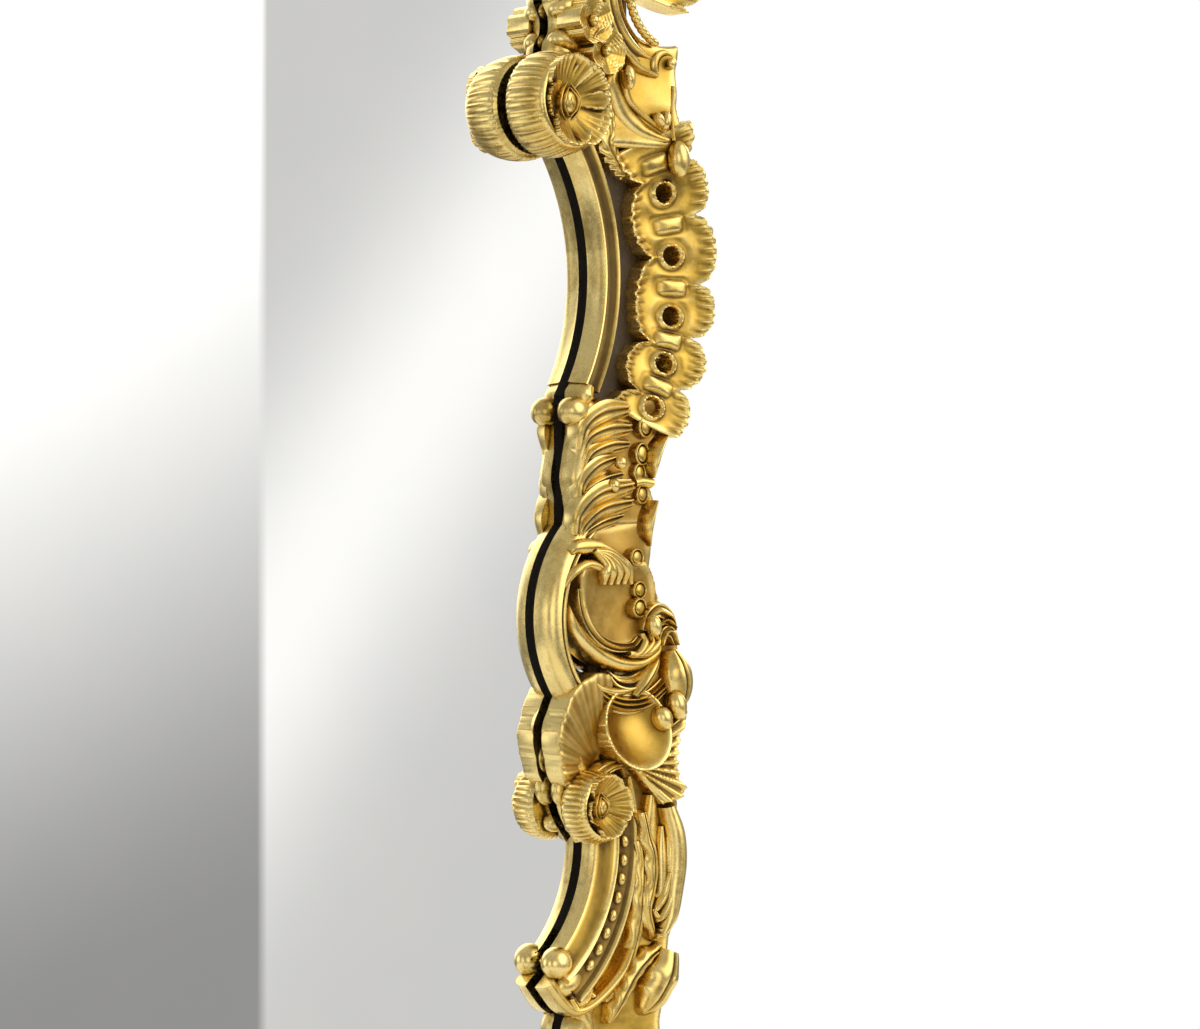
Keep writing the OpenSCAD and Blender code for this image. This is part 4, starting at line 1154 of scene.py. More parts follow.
def cup_shapes():
    """The smooth cup beside the fan, and the fluted fan under it."""
    shapes = []
    cup = (SIGHT + 72, 826)
    shapes.append(relief(
        both(disc(cup, 33), lambda x, z: 856 - z),
        lambda x, z, inside: 24 + 0.014 * ((x - cup[0] + 4) ** 2 + (z - 836) ** 2) - rounded(inside, 3, 3),
        (cup[0] - 36, 790, cup[0] + 36, 862), 1.0))
    shapes += blobs(((96, 41, 833), (8, 9, 10), 0.3, 20),
                    ((110, 43, 843), (8, 9, 12), 0.2, 20))

    # The fluted fan under the cup, on the outside.
    root = np.array(at((71, 31, 797))[0])

    def outer_reach(angle):
        reach = np.interp(angle, [-50, -30, -10, 15, 40], [44, 52, 55, 60, 62])
        return reach + 1.4 * np.sin(np.radians(angle * 9))

    def outer_outline(x, z):
        r, angle = polar_about(root[::2], x, z)
        sides = [(angle + 50) * DEGREE * r, (42 - angle) * DEGREE * r]
        return np.min([outer_reach(angle) - r, r - 3, *sides, field_outline(x, z) + 4], axis=0)

    def outer_top(x, z, inside):
        r, angle = polar_about(root[::2], x, z)
        share = np.clip(r / 56, 0, 1.2)
        lift = 31 + 15 * share ** 1.2 + 1.5 * np.cos(np.radians(angle) * 34) * share ** 0.5
        return lift - rounded(inside, 2, 2)

    shapes.append(relief(outer_outline, outer_top, (root[0] - 4, root[2] - 46, root[0] + 66, root[2] + 46),
                         1.1, field_back))
    # The band over the rosette.
    shapes += along(band,
        (((24, 26, 761), (26, 31, 778), (36, 35, 791), (53, 37, 798), (70, 38, 796)), [7, 10, 10, 9, 5], 7,
         GROUND, 1, 80, 0.4))
    return shapes


def lower_scroll_shapes():
    """The lower C-scroll: wall, wide cove and a beaded channel between two ridges."""
    section = [(LOWER_R + a, b) for a, b in [
        (0, BACK), (0.8, 10), (1.8, 15.6), (3, 17.2), (5, 17.6), (8, 18.6), (12, 21.5), (15, 25.2),
        (17, 27.6), (18.5, 28), (20, 26.6), (21, 24.4), (24, 23.2), (30, 23.4), (34, 24.4), (36, 27),
        (37.5, 29), (39, 29.2), (40.6, 27.4), (42, 22), (43, 12), (20, BACK)]]
    shapes = [moulding(LOWER, -55, 20, section, 150)]
    shapes += [blob(on(LOWER, LOWER_R + 28, angle, 24), (3.6, 3.6, 5.2), math.radians(angle) + 0.2)
               for angle in np.arange(12, -44, -6.2)]
    shapes.append(blob((SIGHT + 4, 15, 645), (13, 12, 13), 0.0, 26))
    shapes += blobs(((15, 16, 629), (15, 9, 11), 0.5, 22),
                    ((26, 19, 618), (14, 8, 10), 0.6, 22))
    shapes.append(sweep([(0, 652), (2, 641), (12, 631), (25, 622), (28, 613), (23, 603), (18, 590),
                         (20, 574), (23, 552), (20, 536), (22, 522)], [SIDE_WALL], 110))
    shapes.append(blob((SIGHT + 30, 15, 530), (12, 12, 12), 0.0, 24))
    shapes += along(band,
        (((-5, 20, 631), (12, 23, 611), (24, 27, 607), (41, 31, 616), (60, 34, 633), (70, 35, 651)),
         [14, 12, 9, 8, 7, 4], 9, LINER + 1, 0, 110))
    for knots in (((14, 24, 617), (17, 27, 609)), ((22, 24, 620), (26, 27, 613)),
                  ((30, 24, 623), (35, 27, 617))):
        shapes.append(band(at(*knots), 6, 5, GROUND, 0, count=20))
    return shapes


def lower_strap_shapes():
    """The outside of the lower rail: a long strap that curls in, over crumpled leaves."""
    shapes = []
    shapes.append(field(560, 744, 36, disc(LOWER, LOWER_R + 41)))
    shapes += along(band,
        (((104, 46, 763), (110, 50, 741), (112, 50, 718), (110, 48, 695), (107, 46, 676), (100, 42, 662),
          (94, 38, 660)), [14, 17, 18, 18, 17, 13, 6], 12, GROUND, 0, 120))
    for knots in (((108, 46, 706), (105, 45, 687), (98, 42, 675), (93, 39, 672)),
                  ((104, 44, 710), (101, 43, 694), (94, 41, 683), (92, 38, 679)),
                  ((111, 47, 699), (109, 46, 678), (104, 43, 667), (96, 39, 664))):
        shapes.append(band(at(*knots), [4, 8, 8, 4], 7, GROUND, 0, count=70))
    # Nested loops that fill the strap's bend.
    for knots, widths in (
            (((105, 43, 762), (108, 45, 727), (108, 43, 692), (98, 40, 675), (91, 37, 682)),
             [5, 12, 14, 10, 5]),
            (((99, 39, 747), (100, 41, 719), (98, 40, 696), (93, 37, 691)), [5, 11, 10, 5]),
            (((94, 34, 772), (96, 35, 743), (95, 35, 711), (92, 34, 684)), [8, 20, 20, 10])):
        shapes.append(band(at(*knots), widths, 7, GROUND, 0, count=80))
    # The wavy leaf edge between channel and strap.
    shapes += along(leaf,
        (((81, 38, 759), (85, 39, 740), (90, 40, 722), (90, 39, 701), (86, 38, 683), (91, 37, 667),
          (99, 35, 655)), 14, 7, 5, 0.22, 1.2, 0.5, GROUND, 120, 0.4, 0.6),
        (((83, 33, 736), (84, 34, 713), (82, 34, 690), (81, 32, 669), (76, 30, 648), (67, 28, 626),
          (51, 26, 610)), 15, 6, 6, 0.14, 0.9, 0.5, GROUND, 140, 0.4, 0.7))
    # The next leaves down.
    shapes += along(leaf,
        (((111, 44, 646), (104, 46, 629), (95, 42, 611), (84, 38, 598)), 32, 10, 3, 0.12, 0.9, 0, GROUND,
         90, 0.7, 0.6),
        (((104, 36, 650), (88, 36, 642), (74, 34, 629), (60, 32, 607), (52, 30, 593)), 20, 9, 6, 0.25, 1.2,
         0, GROUND, 110, 0.6, 0.6))
    shapes += along(band,
        (((27, 24, 609), (31, 25, 600), (34, 25, 591)), [10, 16, 12], 12, GROUND))
    return shapes


for is_left in (False, True):
    rail(is_left)

for is_left in (False, True):
    side = "left" if is_left else "right"
    rose = rosette((SIGHT - 4, 1314), LINER + 0.6, 41, 49, 58, 5, 40)
    piece(side + "_rose", rose, GOLD, ["upper_rosettes"], is_left)
    bud = rosette((SIGHT + 34, 766), GROUND + 2, 29, 46, 38, 4, 10)
    piece(side + "_rosebud", bud, GOLD, ["rosebuds"], is_left)


# ---------------------------------------------------------------- corners, crest and apron

def ring(centre, inner, outer, start, end):
    return both(disc(centre, outer), cut(disc(centre, 900), disc(centre, inner)), wedge(centre, start, end))


def scaled_section(radius):
    return [(r - UPPER_R + radius, w) for r, w in UPPER_SECTION]


RIB_PITCH = 5.2


def lobed_top(lobes, low=17, lift=17, reach=26):
    """A dished top that curls up along the edge, with ribs that fan out from each lobe's middle."""
    def top(x, z, inside):
        depth = np.array([radius - np.hypot(x - cx, z - cz) for (cx, cz), radius in lobes])
        which = depth.argmax(0)
        angles = np.array([np.arctan2(z - cz, x - cx) for (cx, cz), _ in lobes])
        counts = np.array([round(TAU * radius / RIB_PITCH) for _, radius in lobes])
        angle = np.take_along_axis(angles, which[None], 0)[0]
        near = np.clip(1 - inside / reach, 0, 1)
        rise = low + lift * near ** 1.4 + 0.9 * np.sin(x * 0.07) * np.sin(z * 0.08)
        rise += 0.9 * np.cos(angle * counts[which]) * np.clip(1.3 - inside / 11, 0, 1)
        return rise - rounded(inside, 1.8, 1.6)
    return top


def hole_ring(centre, radius, rise, width):
    """A beaded ring round a pierced hole."""
    shapes = [band(arc(centre, radius + 5, 90, 449.9, 40, rise), width, 8, count=96)]
    step_by = 360 / max(8, round(TAU * (radius + 14) / 9))
    shapes += [blob(on(centre, radius + 13.5, a, rise - 6), (3.4, 4.4, 3.4), 0, 8)
               for a in np.arange(0, 359.9, step_by)]
    return shapes


def volute(centre, radius, start, end, width, rise, grooves=2):
    """A grooved C-scroll on an arc, with a rolled eye at each end."""
    ends = [on(centre, radius, start, rise), on(centre, radius, end, rise)]
    shapes = [band(arc(centre, radius, start, end, 30, rise),
                   [width * 0.7, width, width, width, width * 0.7], 10,
                   GROUND - 2, grooves, depth=0.45, count=130)]
    for place, turn in zip(ends, (start, end)):
        shapes.append(turned(place[::2], [(width * 0.52, GROUND - 2, 0), (width * 0.54, rise - 5, 0),
                                          (width * 0.46, rise, 0), (width * 0.34, rise + 1.5, 0),
                                          (width * 0.24, rise - 1, 0), (width * 0.16, rise + 2.5, 0),
                                          (width * 0.06, rise + 4, 0)], 44))
    return shapes


def shell_fan(centre, radius, start, end, ribs, low, high):
    """A scallop shell: round-ended ribs that fan out from a hinge and rise to the rim."""
    half = (end - start) / (ribs - 1) / 2

    def phase(x, z):
        r, angle = polar_about(centre, x, z)
        angle = (angle - start + 90) % 360 - 90
        return r, angle, math.pi * angle / half

    def outline(x, z):
        r, angle, turn = phase(x, z)
        reach = radius * (0.90 + 0.10 * np.abs(np.cos(turn / 2)) ** 0.7)
        span = np.minimum(angle + half, end - start + half - angle) * math.radians(1) * r
        return np.min([reach - r, r - radius * 0.12, span], axis=0)

    def top(x, z, inside):
        r, angle, turn = phase(x, z)
        share = np.clip(r / radius, 0, 1)
        rise = low + (high - low) * np.sin(share * math.pi * 0.56)
        rise += 5.5 * share * (0.5 + 0.5 * np.cos(turn)) ** 0.8 + 0.45 * np.cos(turn * 6) * share
        rise += 2.5 * np.clip((share - 0.86) / 0.14, 0, 1)
        return rise - rounded(inside, 2.4, 2.4)

    span = (centre[0] - radius, centre[1] - radius, centre[0] + radius, centre[1] + radius)
    return relief(outline, top, span, 1.25)


def sprig(start, size, width, direction, rise=36, lobes=7, bend=0.18):
    """An acanthus leaf that lies on the field and lifts its tip."""
    turn = math.radians(direction)
    along, side = np.array([math.cos(turn), math.sin(turn)]), np.array([-math.sin(turn), math.cos(turn)])
    spine = []
    for part, sway, lift in ((0, 0, -6), (0.35, 0.6, 1), (0.7, 0.7, 2), (1, 0, -2)):
        place = np.array(start) + along * size * part + side * size * bend * sway
        spine.append((place[0], rise + lift, place[1]))
    return leaf(spine, width, 9, lobes, 0.30, 1.5, foot=GROUND - 2, count=80, tip=0.7, root=0.5)


CREST_LOBES = [((70, 1880), 58), ((110, 1800), 56), ((206, 1792), 76), ((300, 1758), 48), ((360, 1740), 34)]
CREST_HOLES = [((112, 1800), 24), ((206, 1792), 40), ((300, 1762), 16)]
APRON_LOBES = [((96, 150), 40), ((206, 146), 60), ((300, 154), 40)]
APRON_HOLES = [((206, 146), 28), ((300, 150), 12)]
CORNER_ROSE = (404, 1672)
FOOT_SCROLL = (446, 80)


def crest_shapes():
    """The right half of the crest: its pierced field, and the carvings on it."""
    body = union(box2(-1, 1602, 100, 1830), box2(-1, 1665, 380, 1748), ring(TOP, TOP_R + 8, 268, 46, 148),
                 *[disc(*lobe) for lobe in CREST_LOBES])
    outline = cut(body, disc(TOP, TOP_R + 8), box2(-1, 0, 300, 1580), box2(-1, 0, 60, 1601),
                  disc(CORNER_ROSE, 70), box2(-800, 0, 0, 2100),
                  ring(HIGH, 0, UPPER_R + 36, -24, 84), ring(HIGH, 0, 250, -24, 62),
                  *[disc(*hole) for hole in CREST_HOLES])
    field_shape = relief(outline, lobed_top(CREST_LOBES), (0, 1584, 400, 1942), 1.7)
    shapes = [moulding(TOP, 62, 142, scaled_section(TOP_R), 150)]
    shapes += beads(TOP, TOP_R, 66, 134)
    shapes += volute((206, 1792), 55, -62, 190, 25, 42)
    shapes += hole_ring((206, 1792), 36, 30, 8)
    shapes += volute((300, 1762), 29, -40, 185, 18, 39, 1)
    shapes += hole_ring((112, 1800), 24, 36, 12)
    shapes += [sprig((112 + i * 40, 1700 - i * 5), 74 - 3 * i, 44, 66 - i * 9, 35 + i % 2, 5)
               for i in range(6)]
    shapes += [sprig((170 - i * 30, 1712), 52, 34, 118 + i * 14, 33, 5) for i in range(3)]
    shapes += [sprig((124, 1812), 66, 46, 96, 34, 6), sprig((250, 1836), 46, 36, 122, 34, 5, -0.2)]
    shapes += [sprig((334, 1716), 60, 40, 40, 36, 5), sprig((326, 1776), 40, 30, 66, 34, 4)]
    shapes += flower((186, 1756), GROUND + 6, 22, 46, 15)
    shapes += flower((262, 1728), GROUND + 4, 17, 42, 40)
    shapes.append(band([(70, 38, 1690), (120, 41, 1716), (180, 41, 1718), (240, 40, 1700), (300, 40, 1706),
                        (340, 40, 1728),
                        (352, 42, 1752)], [8, 14, 15, 14, 14, 12, 8], 10, GROUND, 2, depth=0.45, count=170))
    return field_shape, shapes


def crest_middle():
    """The shell, the cartouche under it and the leaves in the middle of the crest."""
    shapes = [shell_fan((0, 1846), 140, 8, 172, 9, 26, 42)]
    shapes.append(turned((0, 1752), [(61, GROUND - 3, 0), (62, 30, 0), (60, 36, 0), (56, 38, 0),
                                     (52, 36, 0), (49, 31, 0), (46, 30, 0), (43, 36, 0), (36, 41, 0),
                                     (24, 45, 0), (12, 46.5, 0), (2, 47, 0)], 120))
    shapes += [blob(on((0, 1752), 49, a, 32), (3.6, 5, 3.6), 0, 10) for a in range(0, 360, 10)]
    shapes += [sprig(spot((0, 1752), 50, a), 34, 24, a, 40, 5, 0.0)
               for a in (20, 48, 132, 160, 200, 228, 312, 340)]
    shapes.append(leaf([(0, 40, 1704), (0, 42, 1670), (0, 38, 1636), (0, 26, 1600)], 64, 11, 9, 0.32, 1.8,
                       foot=LINER + 1,
                       count=110, tip=0.7, root=0.7))
    for side in (-1, 1):
        shapes.append(leaf([(side * 12, 34, 1706), (side * 34, 36, 1676), (side * 48, 34, 1650),
                            (side * 66, 26, 1638)], 34, 9, 6,
                           0.3, 1.4, foot=LINER + 1, count=80, tip=0.7, root=0.5))
    shapes.append(blob((0, 44, 1846), (26, 12, 20), 0, 26))
    shapes.append(blob((0, 12, 1606), (22, 14, 13), 0, 22))
    shapes += [blob((x, 8, 1601), (9, 10, 9), 0, 18) for x in (-36, 36)]
    shapes += curl((-30, 1838), 17, 1.1, 20, 12, 40, 8, 1)
    shapes += curl((30, 1838), 17, 1.1, 160, 12, 40, 8, -1)
    return shapes


def top_corner_shapes():
    """The upper corner, with its moulding, shell border and rose."""
    body = union(ring(HIGH, UPPER_R + 8, UPPER_R + 34, -24, 83), ring(HIGH, UPPER_R + 8, 250, -24, 62),
                 disc(CORNER_ROSE, 88))
    outline = cut(body, disc(HIGH, UPPER_R + 8), disc(TOP, TOP_R + 8), box2(0, 0, 700, 1405.5))
    ground = relief(outline, lobed_top([(CORNER_ROSE, 88)], 13, 16, 22), (330, 1400, 500, 1766), 2.0)
    shapes = [ground, moulding(HIGH, -24, 81, UPPER_SECTION, 190)]
    shapes.append(blob((262, 9, 1652), (12, 11, 14), -0.4, 24))
    shapes += [sprig(spot(HIGH, 196, a), 56, 32, a + 62, 30, 5) for a in (30, 42, 54)]
    shapes += beads(HIGH, UPPER_R, 36, 80)
    shapes.append(shell_border(HIGH, [-30, -18, -7, 4, 15, 26, 37, 48], [-30, -12, 5, 22, 40],
                               [-11.5, 0, 11.5, 23],
                               [-5.8, 5.8, 17.2, 28.6], -19, 33))
    shapes += [sprig(spot(CORNER_ROSE, 34, a), 56, 36, a, 40, 7, 0.1) for a in (-14, 16, 46, 76, 106, 136)]
    shapes += [sprig(spot(CORNER_ROSE, 34, a), 42, 26, a, 36, 5, -0.1)
               for a in (1, 31, 61, 91, 121, 170, 205, 240)]
    shapes += rosette(CORNER_ROSE, GROUND - 2, 42, 54, 58, 6, 20)
    return shapes


def bottom_corner_shapes():
    """The lower corner, with its moulding, shell border and foot scroll."""
    lobes = [(FOOT_SCROLL, 54), ((424, 136), 42), ((438, 196), 40), ((440, 258), 36), ((392, 232), 34)]
    body = union(ring(LOW, UPPER_R + 8, 250, -75, 50), box2(406, 25, 468, 90),
                 *[disc(*lobe) for lobe in lobes])
    outline = cut(body, disc(LOW, UPPER_R + 8), disc(BASE, BASE_R + 8), box2(0, 559.5, 700, 2100),
                  box2(0, 0, 700, 25),
                  box2(0, 520, SIGHT + 28, 700))
    ground = relief(outline, lobed_top(lobes, 14, 14, 20), (270, 20, 506, 564), 2.0)
    shapes = [ground, moulding(LOW, -74, 33, UPPER_SECTION, 200)]
    shapes.append(blob((284, 9, 262), (11, 11, 13), 0.4, 24))
    shapes += beads(LOW, UPPER_R, -72, -42)
    shapes += [sprig(spot(LOW, 210, a), 58, 36, a - 52, 30, 5) for a in (-44, -56)]
    shapes.append(shell_border(LOW, [-52, -40, -29, -18, -7, 4, 15, 26, 37],
                               [-52, -36, -20, -3, 14, 30, 44],
                               [-34.5, -23.5, -12.5, -1.5, 9.5, 20.5], [-29, -18, -7, 4, 15, 26], -40, 34))
    shapes += [sprig((438, 112), 118 - i * 12, 56, 76 + i * 19, 38 + i % 2, 8, 0.10) for i in range(4)]
    shapes += [sprig((438, 190), 66, 40, 62, 40, 6, -0.1), sprig((448, 112), 62, 36, 58, 34, 6, -0.1)]
    shapes += volute(FOOT_SCROLL, 37, -62, 236, 22, 44, 2)
    shapes += curl(FOOT_SCROLL, 26, 1.2, 210, 13, 42, 8, 1)
    shapes += flower((404, 196), GROUND + 4, 20, 42, 30)
    return shapes


def apron_shapes():
    """The right half of the apron: its pierced field, and the carvings on it."""
    body = union(box2(-1, 116, 110, 247), box2(100, 150, 384, 240), ring(BASE, BASE_R + 8, 250, 212, 314),
                 disc((0, 150), 62),
                 *[disc(*lobe) for lobe in APRON_LOBES])
    outline = cut(body, disc(BASE, BASE_R + 8), box2(-1, 253, 80, 1000), disc(LOW, UPPER_R + 8),
                  ring(LOW, 0, 250, -72, 50), box2(379.5, 0, 700, 300), box2(-800, 0, 0, 2100),
                  *[disc(*hole) for hole in APRON_HOLES])
    field_shape = relief(outline, lobed_top(APRON_LOBES + [((0, 150), 62)]), (0, 80, 384, 300), 1.7)
    shapes = [moulding(BASE, 233, 307.5, scaled_section(BASE_R), 140)]
    shapes += beads(BASE, BASE_R, 240, 305)
    shapes += volute((206, 146), 43, 176, 412, 22, 40)
    shapes += hole_ring((206, 146), 24, 30, 8)
    shapes += volute((300, 150), 25, 180, 404, 17, 38, 1)
    shapes += [sprig((112 + i * 60, 214 - i * 10), 52, 28, -44 + i * 12, 34) for i in range(4)]
    shapes += [sprig((150 - i * 26, 196), 46, 24, 212 + i * 12, 33) for i in range(2)]
    shapes += flower((190, 180), GROUND + 4, 19, 42, 20)
    shapes.append(band([(74, 36, 214), (130, 38, 198), (190, 38, 204), (250, 38, 206), (310, 38, 192),
                        (352, 36, 200)],
                       [8, 13, 14, 14, 13, 8], 9, GROUND, 2, depth=0.45, count=150))
    return field_shape, shapes


def apron_middle():
    """The scallop shell and the leaves in the middle of the apron."""
    shapes = [shell_fan((0, 180), 122, 200, 340, 7, 26, 42)]
    shapes.append(moulding((0, 3262), 268.45, 271.55, scaled_section(3000), 60))
    shapes += [blob((x, 9, 268), (14, 12, 16), 0, 24) for x in (-70, 70)]
    for x, turn in ((0, 90), (-20, 132), (20, 48), (-38, 168), (38, 12)):
        shapes.append(sprig((x, 198), 62, 40, turn, 38, 6))
    shapes.append(blob((0, 44, 184), (24, 12, 18), 0, 26))
    shapes += curl((-29, 190), 16, 1.1, -20, 12, 40, 8, -1)
    shapes += curl((29, 190), 16, 1.1, 200, 12, 40, 8, 1)
    return shapes


for is_left in (False, True):
    side = "left" if is_left else "right"
    for name, (field_shape, shapes), ground in (
            ("crest", crest_shapes(), "top_ground"),
            ("apron", apron_shapes(), "bottom_ground")):
        piece(f"{side}_{name}_field", [field_shape], GOLD, [ground], is_left)
        piece(f"{side}_{name}_scroll", shapes, GOLD, [f"{name}_{side}_scroll"], is_left)
    for name, shapes in (("top", top_corner_shapes()), ("bottom", bottom_corner_shapes())):
        piece(f"{side}_{name}_corner", shapes, GOLD, [f"{name}_{side}_corner"], is_left)
piece("crest_shell_and_cartouche", crest_middle(), GOLD, ["crest_shell"])
piece("apron_scallop", apron_middle(), GOLD, ["apron_shell"])


# ---------------------------------------------------------------- the stay strap

STRAP_WIDTH = 38
STRAP_THICK = 1.3
STRAP_FROM = np.array([-136.0, 367.0])   # the bar on the frame, as (depth, height)
STRAP_TO = np.array([186.7, 317.7])      # the bar on the strut
STRAP_LOOP = 3.3                         # the radius of the webbing's loop round a bar
STRAP_LAP = 42                           # the length sewn back on itself at each end


def strap_path():
    """The line of the webbing in (depth, height): a lap and a loop at each bar, and the run."""
    run = STRAP_TO - STRAP_FROM
    length = np.hypot(*run)
    along = run / length
    below = np.array([along[1], -along[0]])
    turns = np.radians(np.linspace(90, 270, 13))
    loop = np.stack([np.cos(turns), -np.sin(turns)], 1) * STRAP_LOOP
    near = [(STRAP_LAP, 1.55), (26, 1.55), (12, 2.0), (5, 3.1)] + [(x, -y) for x, y in loop]
    places = [STRAP_FROM + along * x + below * y for x, y in near]
    for share in np.linspace(0.06, 0.94, 26):
        sag = 2.2 * math.sin(math.pi * share)
        places.append(STRAP_FROM + run * share + below * sag)
    far = [*loop, (5, 3.1), (12, 2.0), (26, 1.55), (STRAP_LAP, 1.55)]
    places += [STRAP_TO - along * x + below * y for x, y in far]
    return np.array(places)


def strap():
    path = spline([(x, 0.0, z) for x, z in strap_path()], 200)[:, ::2]
    ahead = np.gradient(path, axis=0)
    ahead /= np.hypot(*ahead.T)[:, None]
    side = np.stack([-ahead[:, 1], ahead[:, 0]], 1) * STRAP_THICK / 2
    half = STRAP_WIDTH / 2
    columns = [(half - 0.7, 1), (half, 0), (half - 0.7, -1), (0, -1), (-half + 0.7, -1), (-half, 0),
               (-half + 0.7, 1), (0, 1)]
    rings = np.empty((len(path), len(columns), 3))
    for k, (across, face) in enumerate(columns):
        rings[:, k, 0] = across
        rings[:, k, 1:] = path + side * face
    points, faces = loft(rings)
    placed = points * MM
    made = make_object("stay_strap_webbing", placed, outward(placed, faces), WEBBING, 50)
    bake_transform(made)
    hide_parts("stay_strap")


strap()


# ---------------------------------------------------------------- floor, light and camera

def studio_floor():
    """A pale round floor in the white of the studio."""
    bpy.ops.mesh.primitive_circle_add(vertices=96, radius=2.6, fill_type="NGON")
    floor = bpy.context.object
    floor.name = "studio_floor"
    m = Nodes("studio_floor")
    m.set(Base_Color=m.ramp(m.noise(m.place(), 3), (0.3, 0.80), (0.7, 0.83)), Roughness=0.6)
    floor.data.materials.append(m.material)


# What the studio shows towards the right of the mirror's front: a grey screen whose near edge
# and lit diagonal the glass reflects. Both are angles' tangents about the line of that reflection.
SCREEN_EDGE = -0.1038
STREAK_FROM, STREAK_TO = (-0.1036, -0.041), (-0.0182, 0.0862)


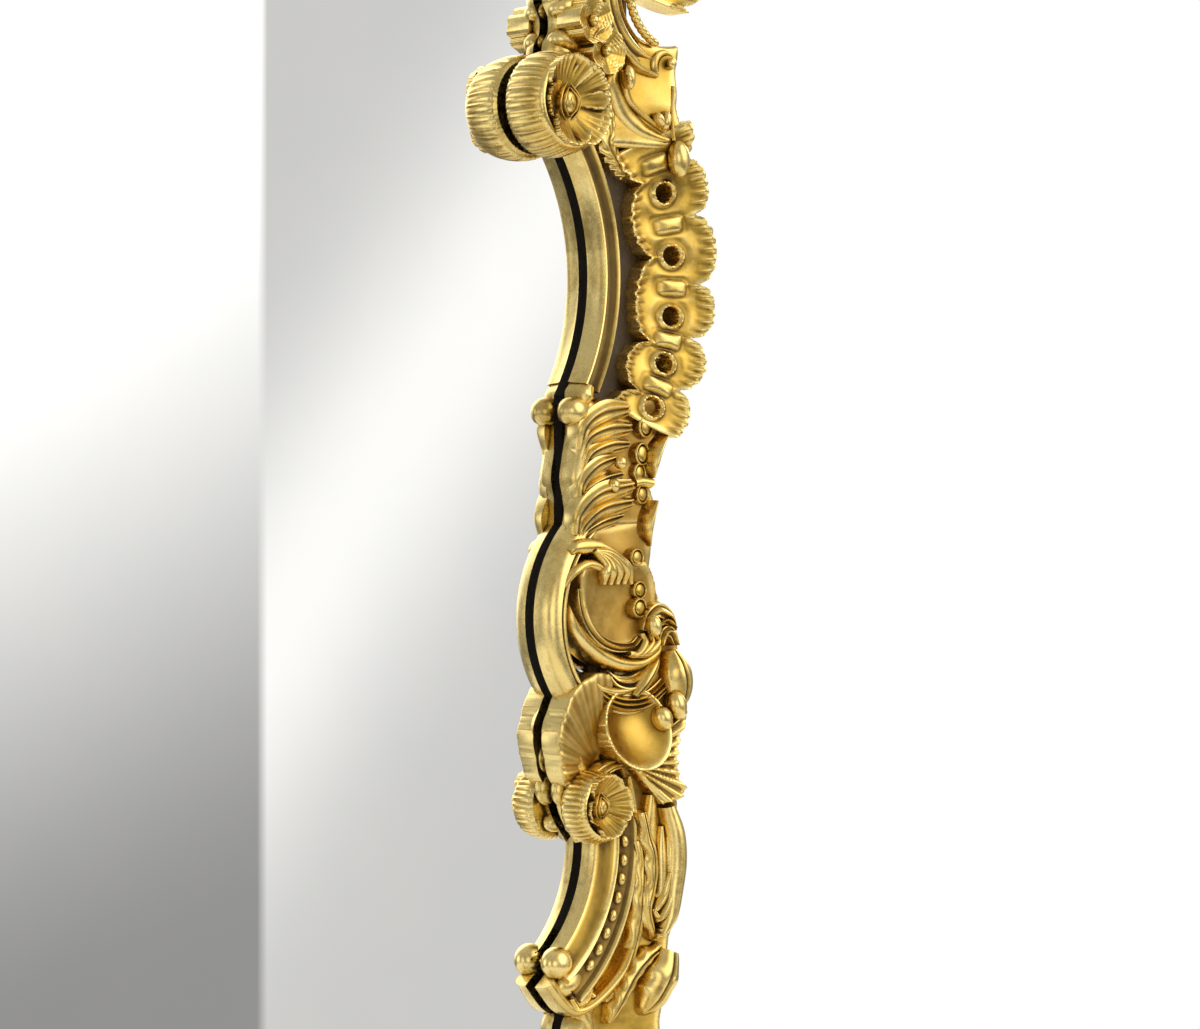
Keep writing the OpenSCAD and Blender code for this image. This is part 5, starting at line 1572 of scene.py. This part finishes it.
def studio_light():
    world = bpy.data.worlds.new("studio")
    bpy.context.scene.world = world
    world.use_nodes = True
    tree = world.node_tree
    tree.nodes.clear()
    add = lambda kind: tree.nodes.new("ShaderNode" + kind)

    def math_node(operation, *values):
        node = add("Math")
        node.operation = operation
        for socket, value in zip(node.inputs, values):
            if isinstance(value, bpy.types.NodeSocket):
                tree.links.new(value, socket)
            else:
                socket.default_value = value
        return node.outputs[0]

    def glow(centre, inner, outer, strength):
        """A soft round light in the direction (across, back, up)."""
        dot = add("VectorMath")
        dot.operation = "DOT_PRODUCT"
        tree.links.new(upright, dot.inputs[0])
        dot.inputs[1].default_value = Vector(centre).normalized()
        span = add("MapRange")
        span.interpolation_type = "SMOOTHSTEP"
        tree.links.new(dot.outputs["Value"], span.inputs["Value"])
        span.inputs["From Min"].default_value = math.cos(math.radians(outer))
        span.inputs["From Max"].default_value = math.cos(math.radians(inner))
        span.inputs["To Max"].default_value = strength
        return span.outputs[0]

    rotate = add("VectorRotate")
    rotate.rotation_type = "X_AXIS"
    rotate.inputs["Angle"].default_value = LEAN
    tree.links.new(add("TexCoord").outputs["Generated"], rotate.inputs["Vector"])
    upright = rotate.outputs[0]
    split = add("SeparateXYZ")
    tree.links.new(upright, split.inputs[0])
    across, depth, up = split.outputs
    front = math_node("MULTIPLY", depth, -1.0)
    total = math_node("MAXIMUM", math_node("ADD", across, front), 0.02)
    sideways = math_node("DIVIDE", math_node("SUBTRACT", across, front), total)
    height = math_node("DIVIDE", math_node("MULTIPLY", up, math.sqrt(2)), total)

    light = math_node("MULTIPLY_ADD", up, 0.22, 0.34)
    for lamp in [((-0.70, 0.75, 0.80), 14, 30, 3.6), ((0.95, 0.25, 0.50), 8, 22, 3.6),
                 ((0.15, 0.75, 1.0), 10, 26, 2.2), ((-1.0, 0.15, 0.0), 8, 24, 2.0),
                 ((0.1, 1.0, -0.35), 8, 24, 1.0), ((0.3, -0.9, 0.5), 12, 40, 1.8),
                 ((0.85, 0.5, -0.45), 5, 18, 1.4), ((-0.71, -0.70, 0.04), 4, 22, 1.3),
                 ((0.09, -1.0, 0.08), 4, 20, 0.4)]:
        light = math_node("ADD", light, glow(*lamp))
    screen = streaked_screen(math_node, sideways, height)
    on_screen = math_node("MULTIPLY", step(math_node, sideways, SCREEN_EDGE, 0.003),
                          step(math_node, math_node("MULTIPLY", sideways, -1.0), -0.32, 0.05))
    on_screen = math_node("MULTIPLY", on_screen, step(math_node, front, 0.02, 0.05))
    above = step(math_node, math_node("MULTIPLY", up, -1.0), -0.30, 0.06)
    on_screen = math_node("MULTIPLY", on_screen, above)
    light = math_node("ADD", math_node("MULTIPLY", light, math_node("SUBTRACT", 1.0, on_screen)),
                      math_node("MULTIPLY", screen, on_screen))

    seen = add("Background")
    seen.inputs["Color"].default_value = (1, 1, 1, 1)
    lit = add("Background")
    lit.inputs["Color"].default_value = (1, 0.985, 0.96, 1)
    tree.links.new(light, lit.inputs["Strength"])
    choose = add("MixShader")
    tree.links.new(add("LightPath").outputs["Is Camera Ray"], choose.inputs[0])
    tree.links.new(lit.outputs[0], choose.inputs[1])
    tree.links.new(seen.outputs[0], choose.inputs[2])
    tree.links.new(choose.outputs[0], add("OutputWorld").inputs[0])


def step(math_node, value, edge, soft):
    ramp = math_node("DIVIDE", math_node("SUBTRACT", value, edge), soft)
    return math_node("MINIMUM", math_node("MAXIMUM", ramp, 0.0), 1.0)


def streaked_screen(math_node, sideways, height):
    """Grey, with a soft white streak along the line between the two streak points."""
    run = np.subtract(STREAK_TO, STREAK_FROM)
    run = run / np.hypot(*run)
    offset = math_node("SUBTRACT",
                       math_node("MULTIPLY", math_node("SUBTRACT", sideways, STREAK_FROM[0]),
                                 float(-run[1])),
                       math_node("MULTIPLY", math_node("SUBTRACT", height, STREAK_FROM[1]), float(-run[0])))
    fall = math_node("MULTIPLY", offset, 26.0)
    lit = math_node("EXPONENT", math_node("MULTIPLY", math_node("POWER", math_node("ABSOLUTE", fall), 2.0),
                                          -1.0))
    return math_node("MULTIPLY_ADD", lit, 0.42, 0.63)


# The camera looks at the right-hand side of the frame from the left, at 45 degrees to the glass.
CAMERA_TARGET = (SIGHT + 45, 22, 995)
CAMERA_DISTANCE = 2600
CAMERA_LENS = 99.05


def studio_camera():
    data = bpy.data.cameras.new("camera")
    data.lens = CAMERA_LENS
    data.clip_start = 0.05
    camera = bpy.data.objects.new("camera", data)
    bpy.context.scene.collection.objects.link(camera)
    slant = CAMERA_DISTANCE * math.sqrt(0.5)
    eye = Vector(to_world(np.add(CAMERA_TARGET, (-slant, slant, 0))))
    target = Vector(to_world(CAMERA_TARGET))
    up = Vector(to_world((0, 0, 1))) - Vector(to_world((0, 0, 0)))
    back = (eye - target).normalized()
    right = up.cross(back).normalized()
    turn = Matrix((right, back.cross(right), back)).transposed()
    camera.matrix_world = Matrix.LocRotScale(eye, turn, None)
    bpy.context.scene.camera = camera
    bpy.context.scene.view_settings.view_transform = "Standard"


studio_floor()
studio_light()
studio_camera()
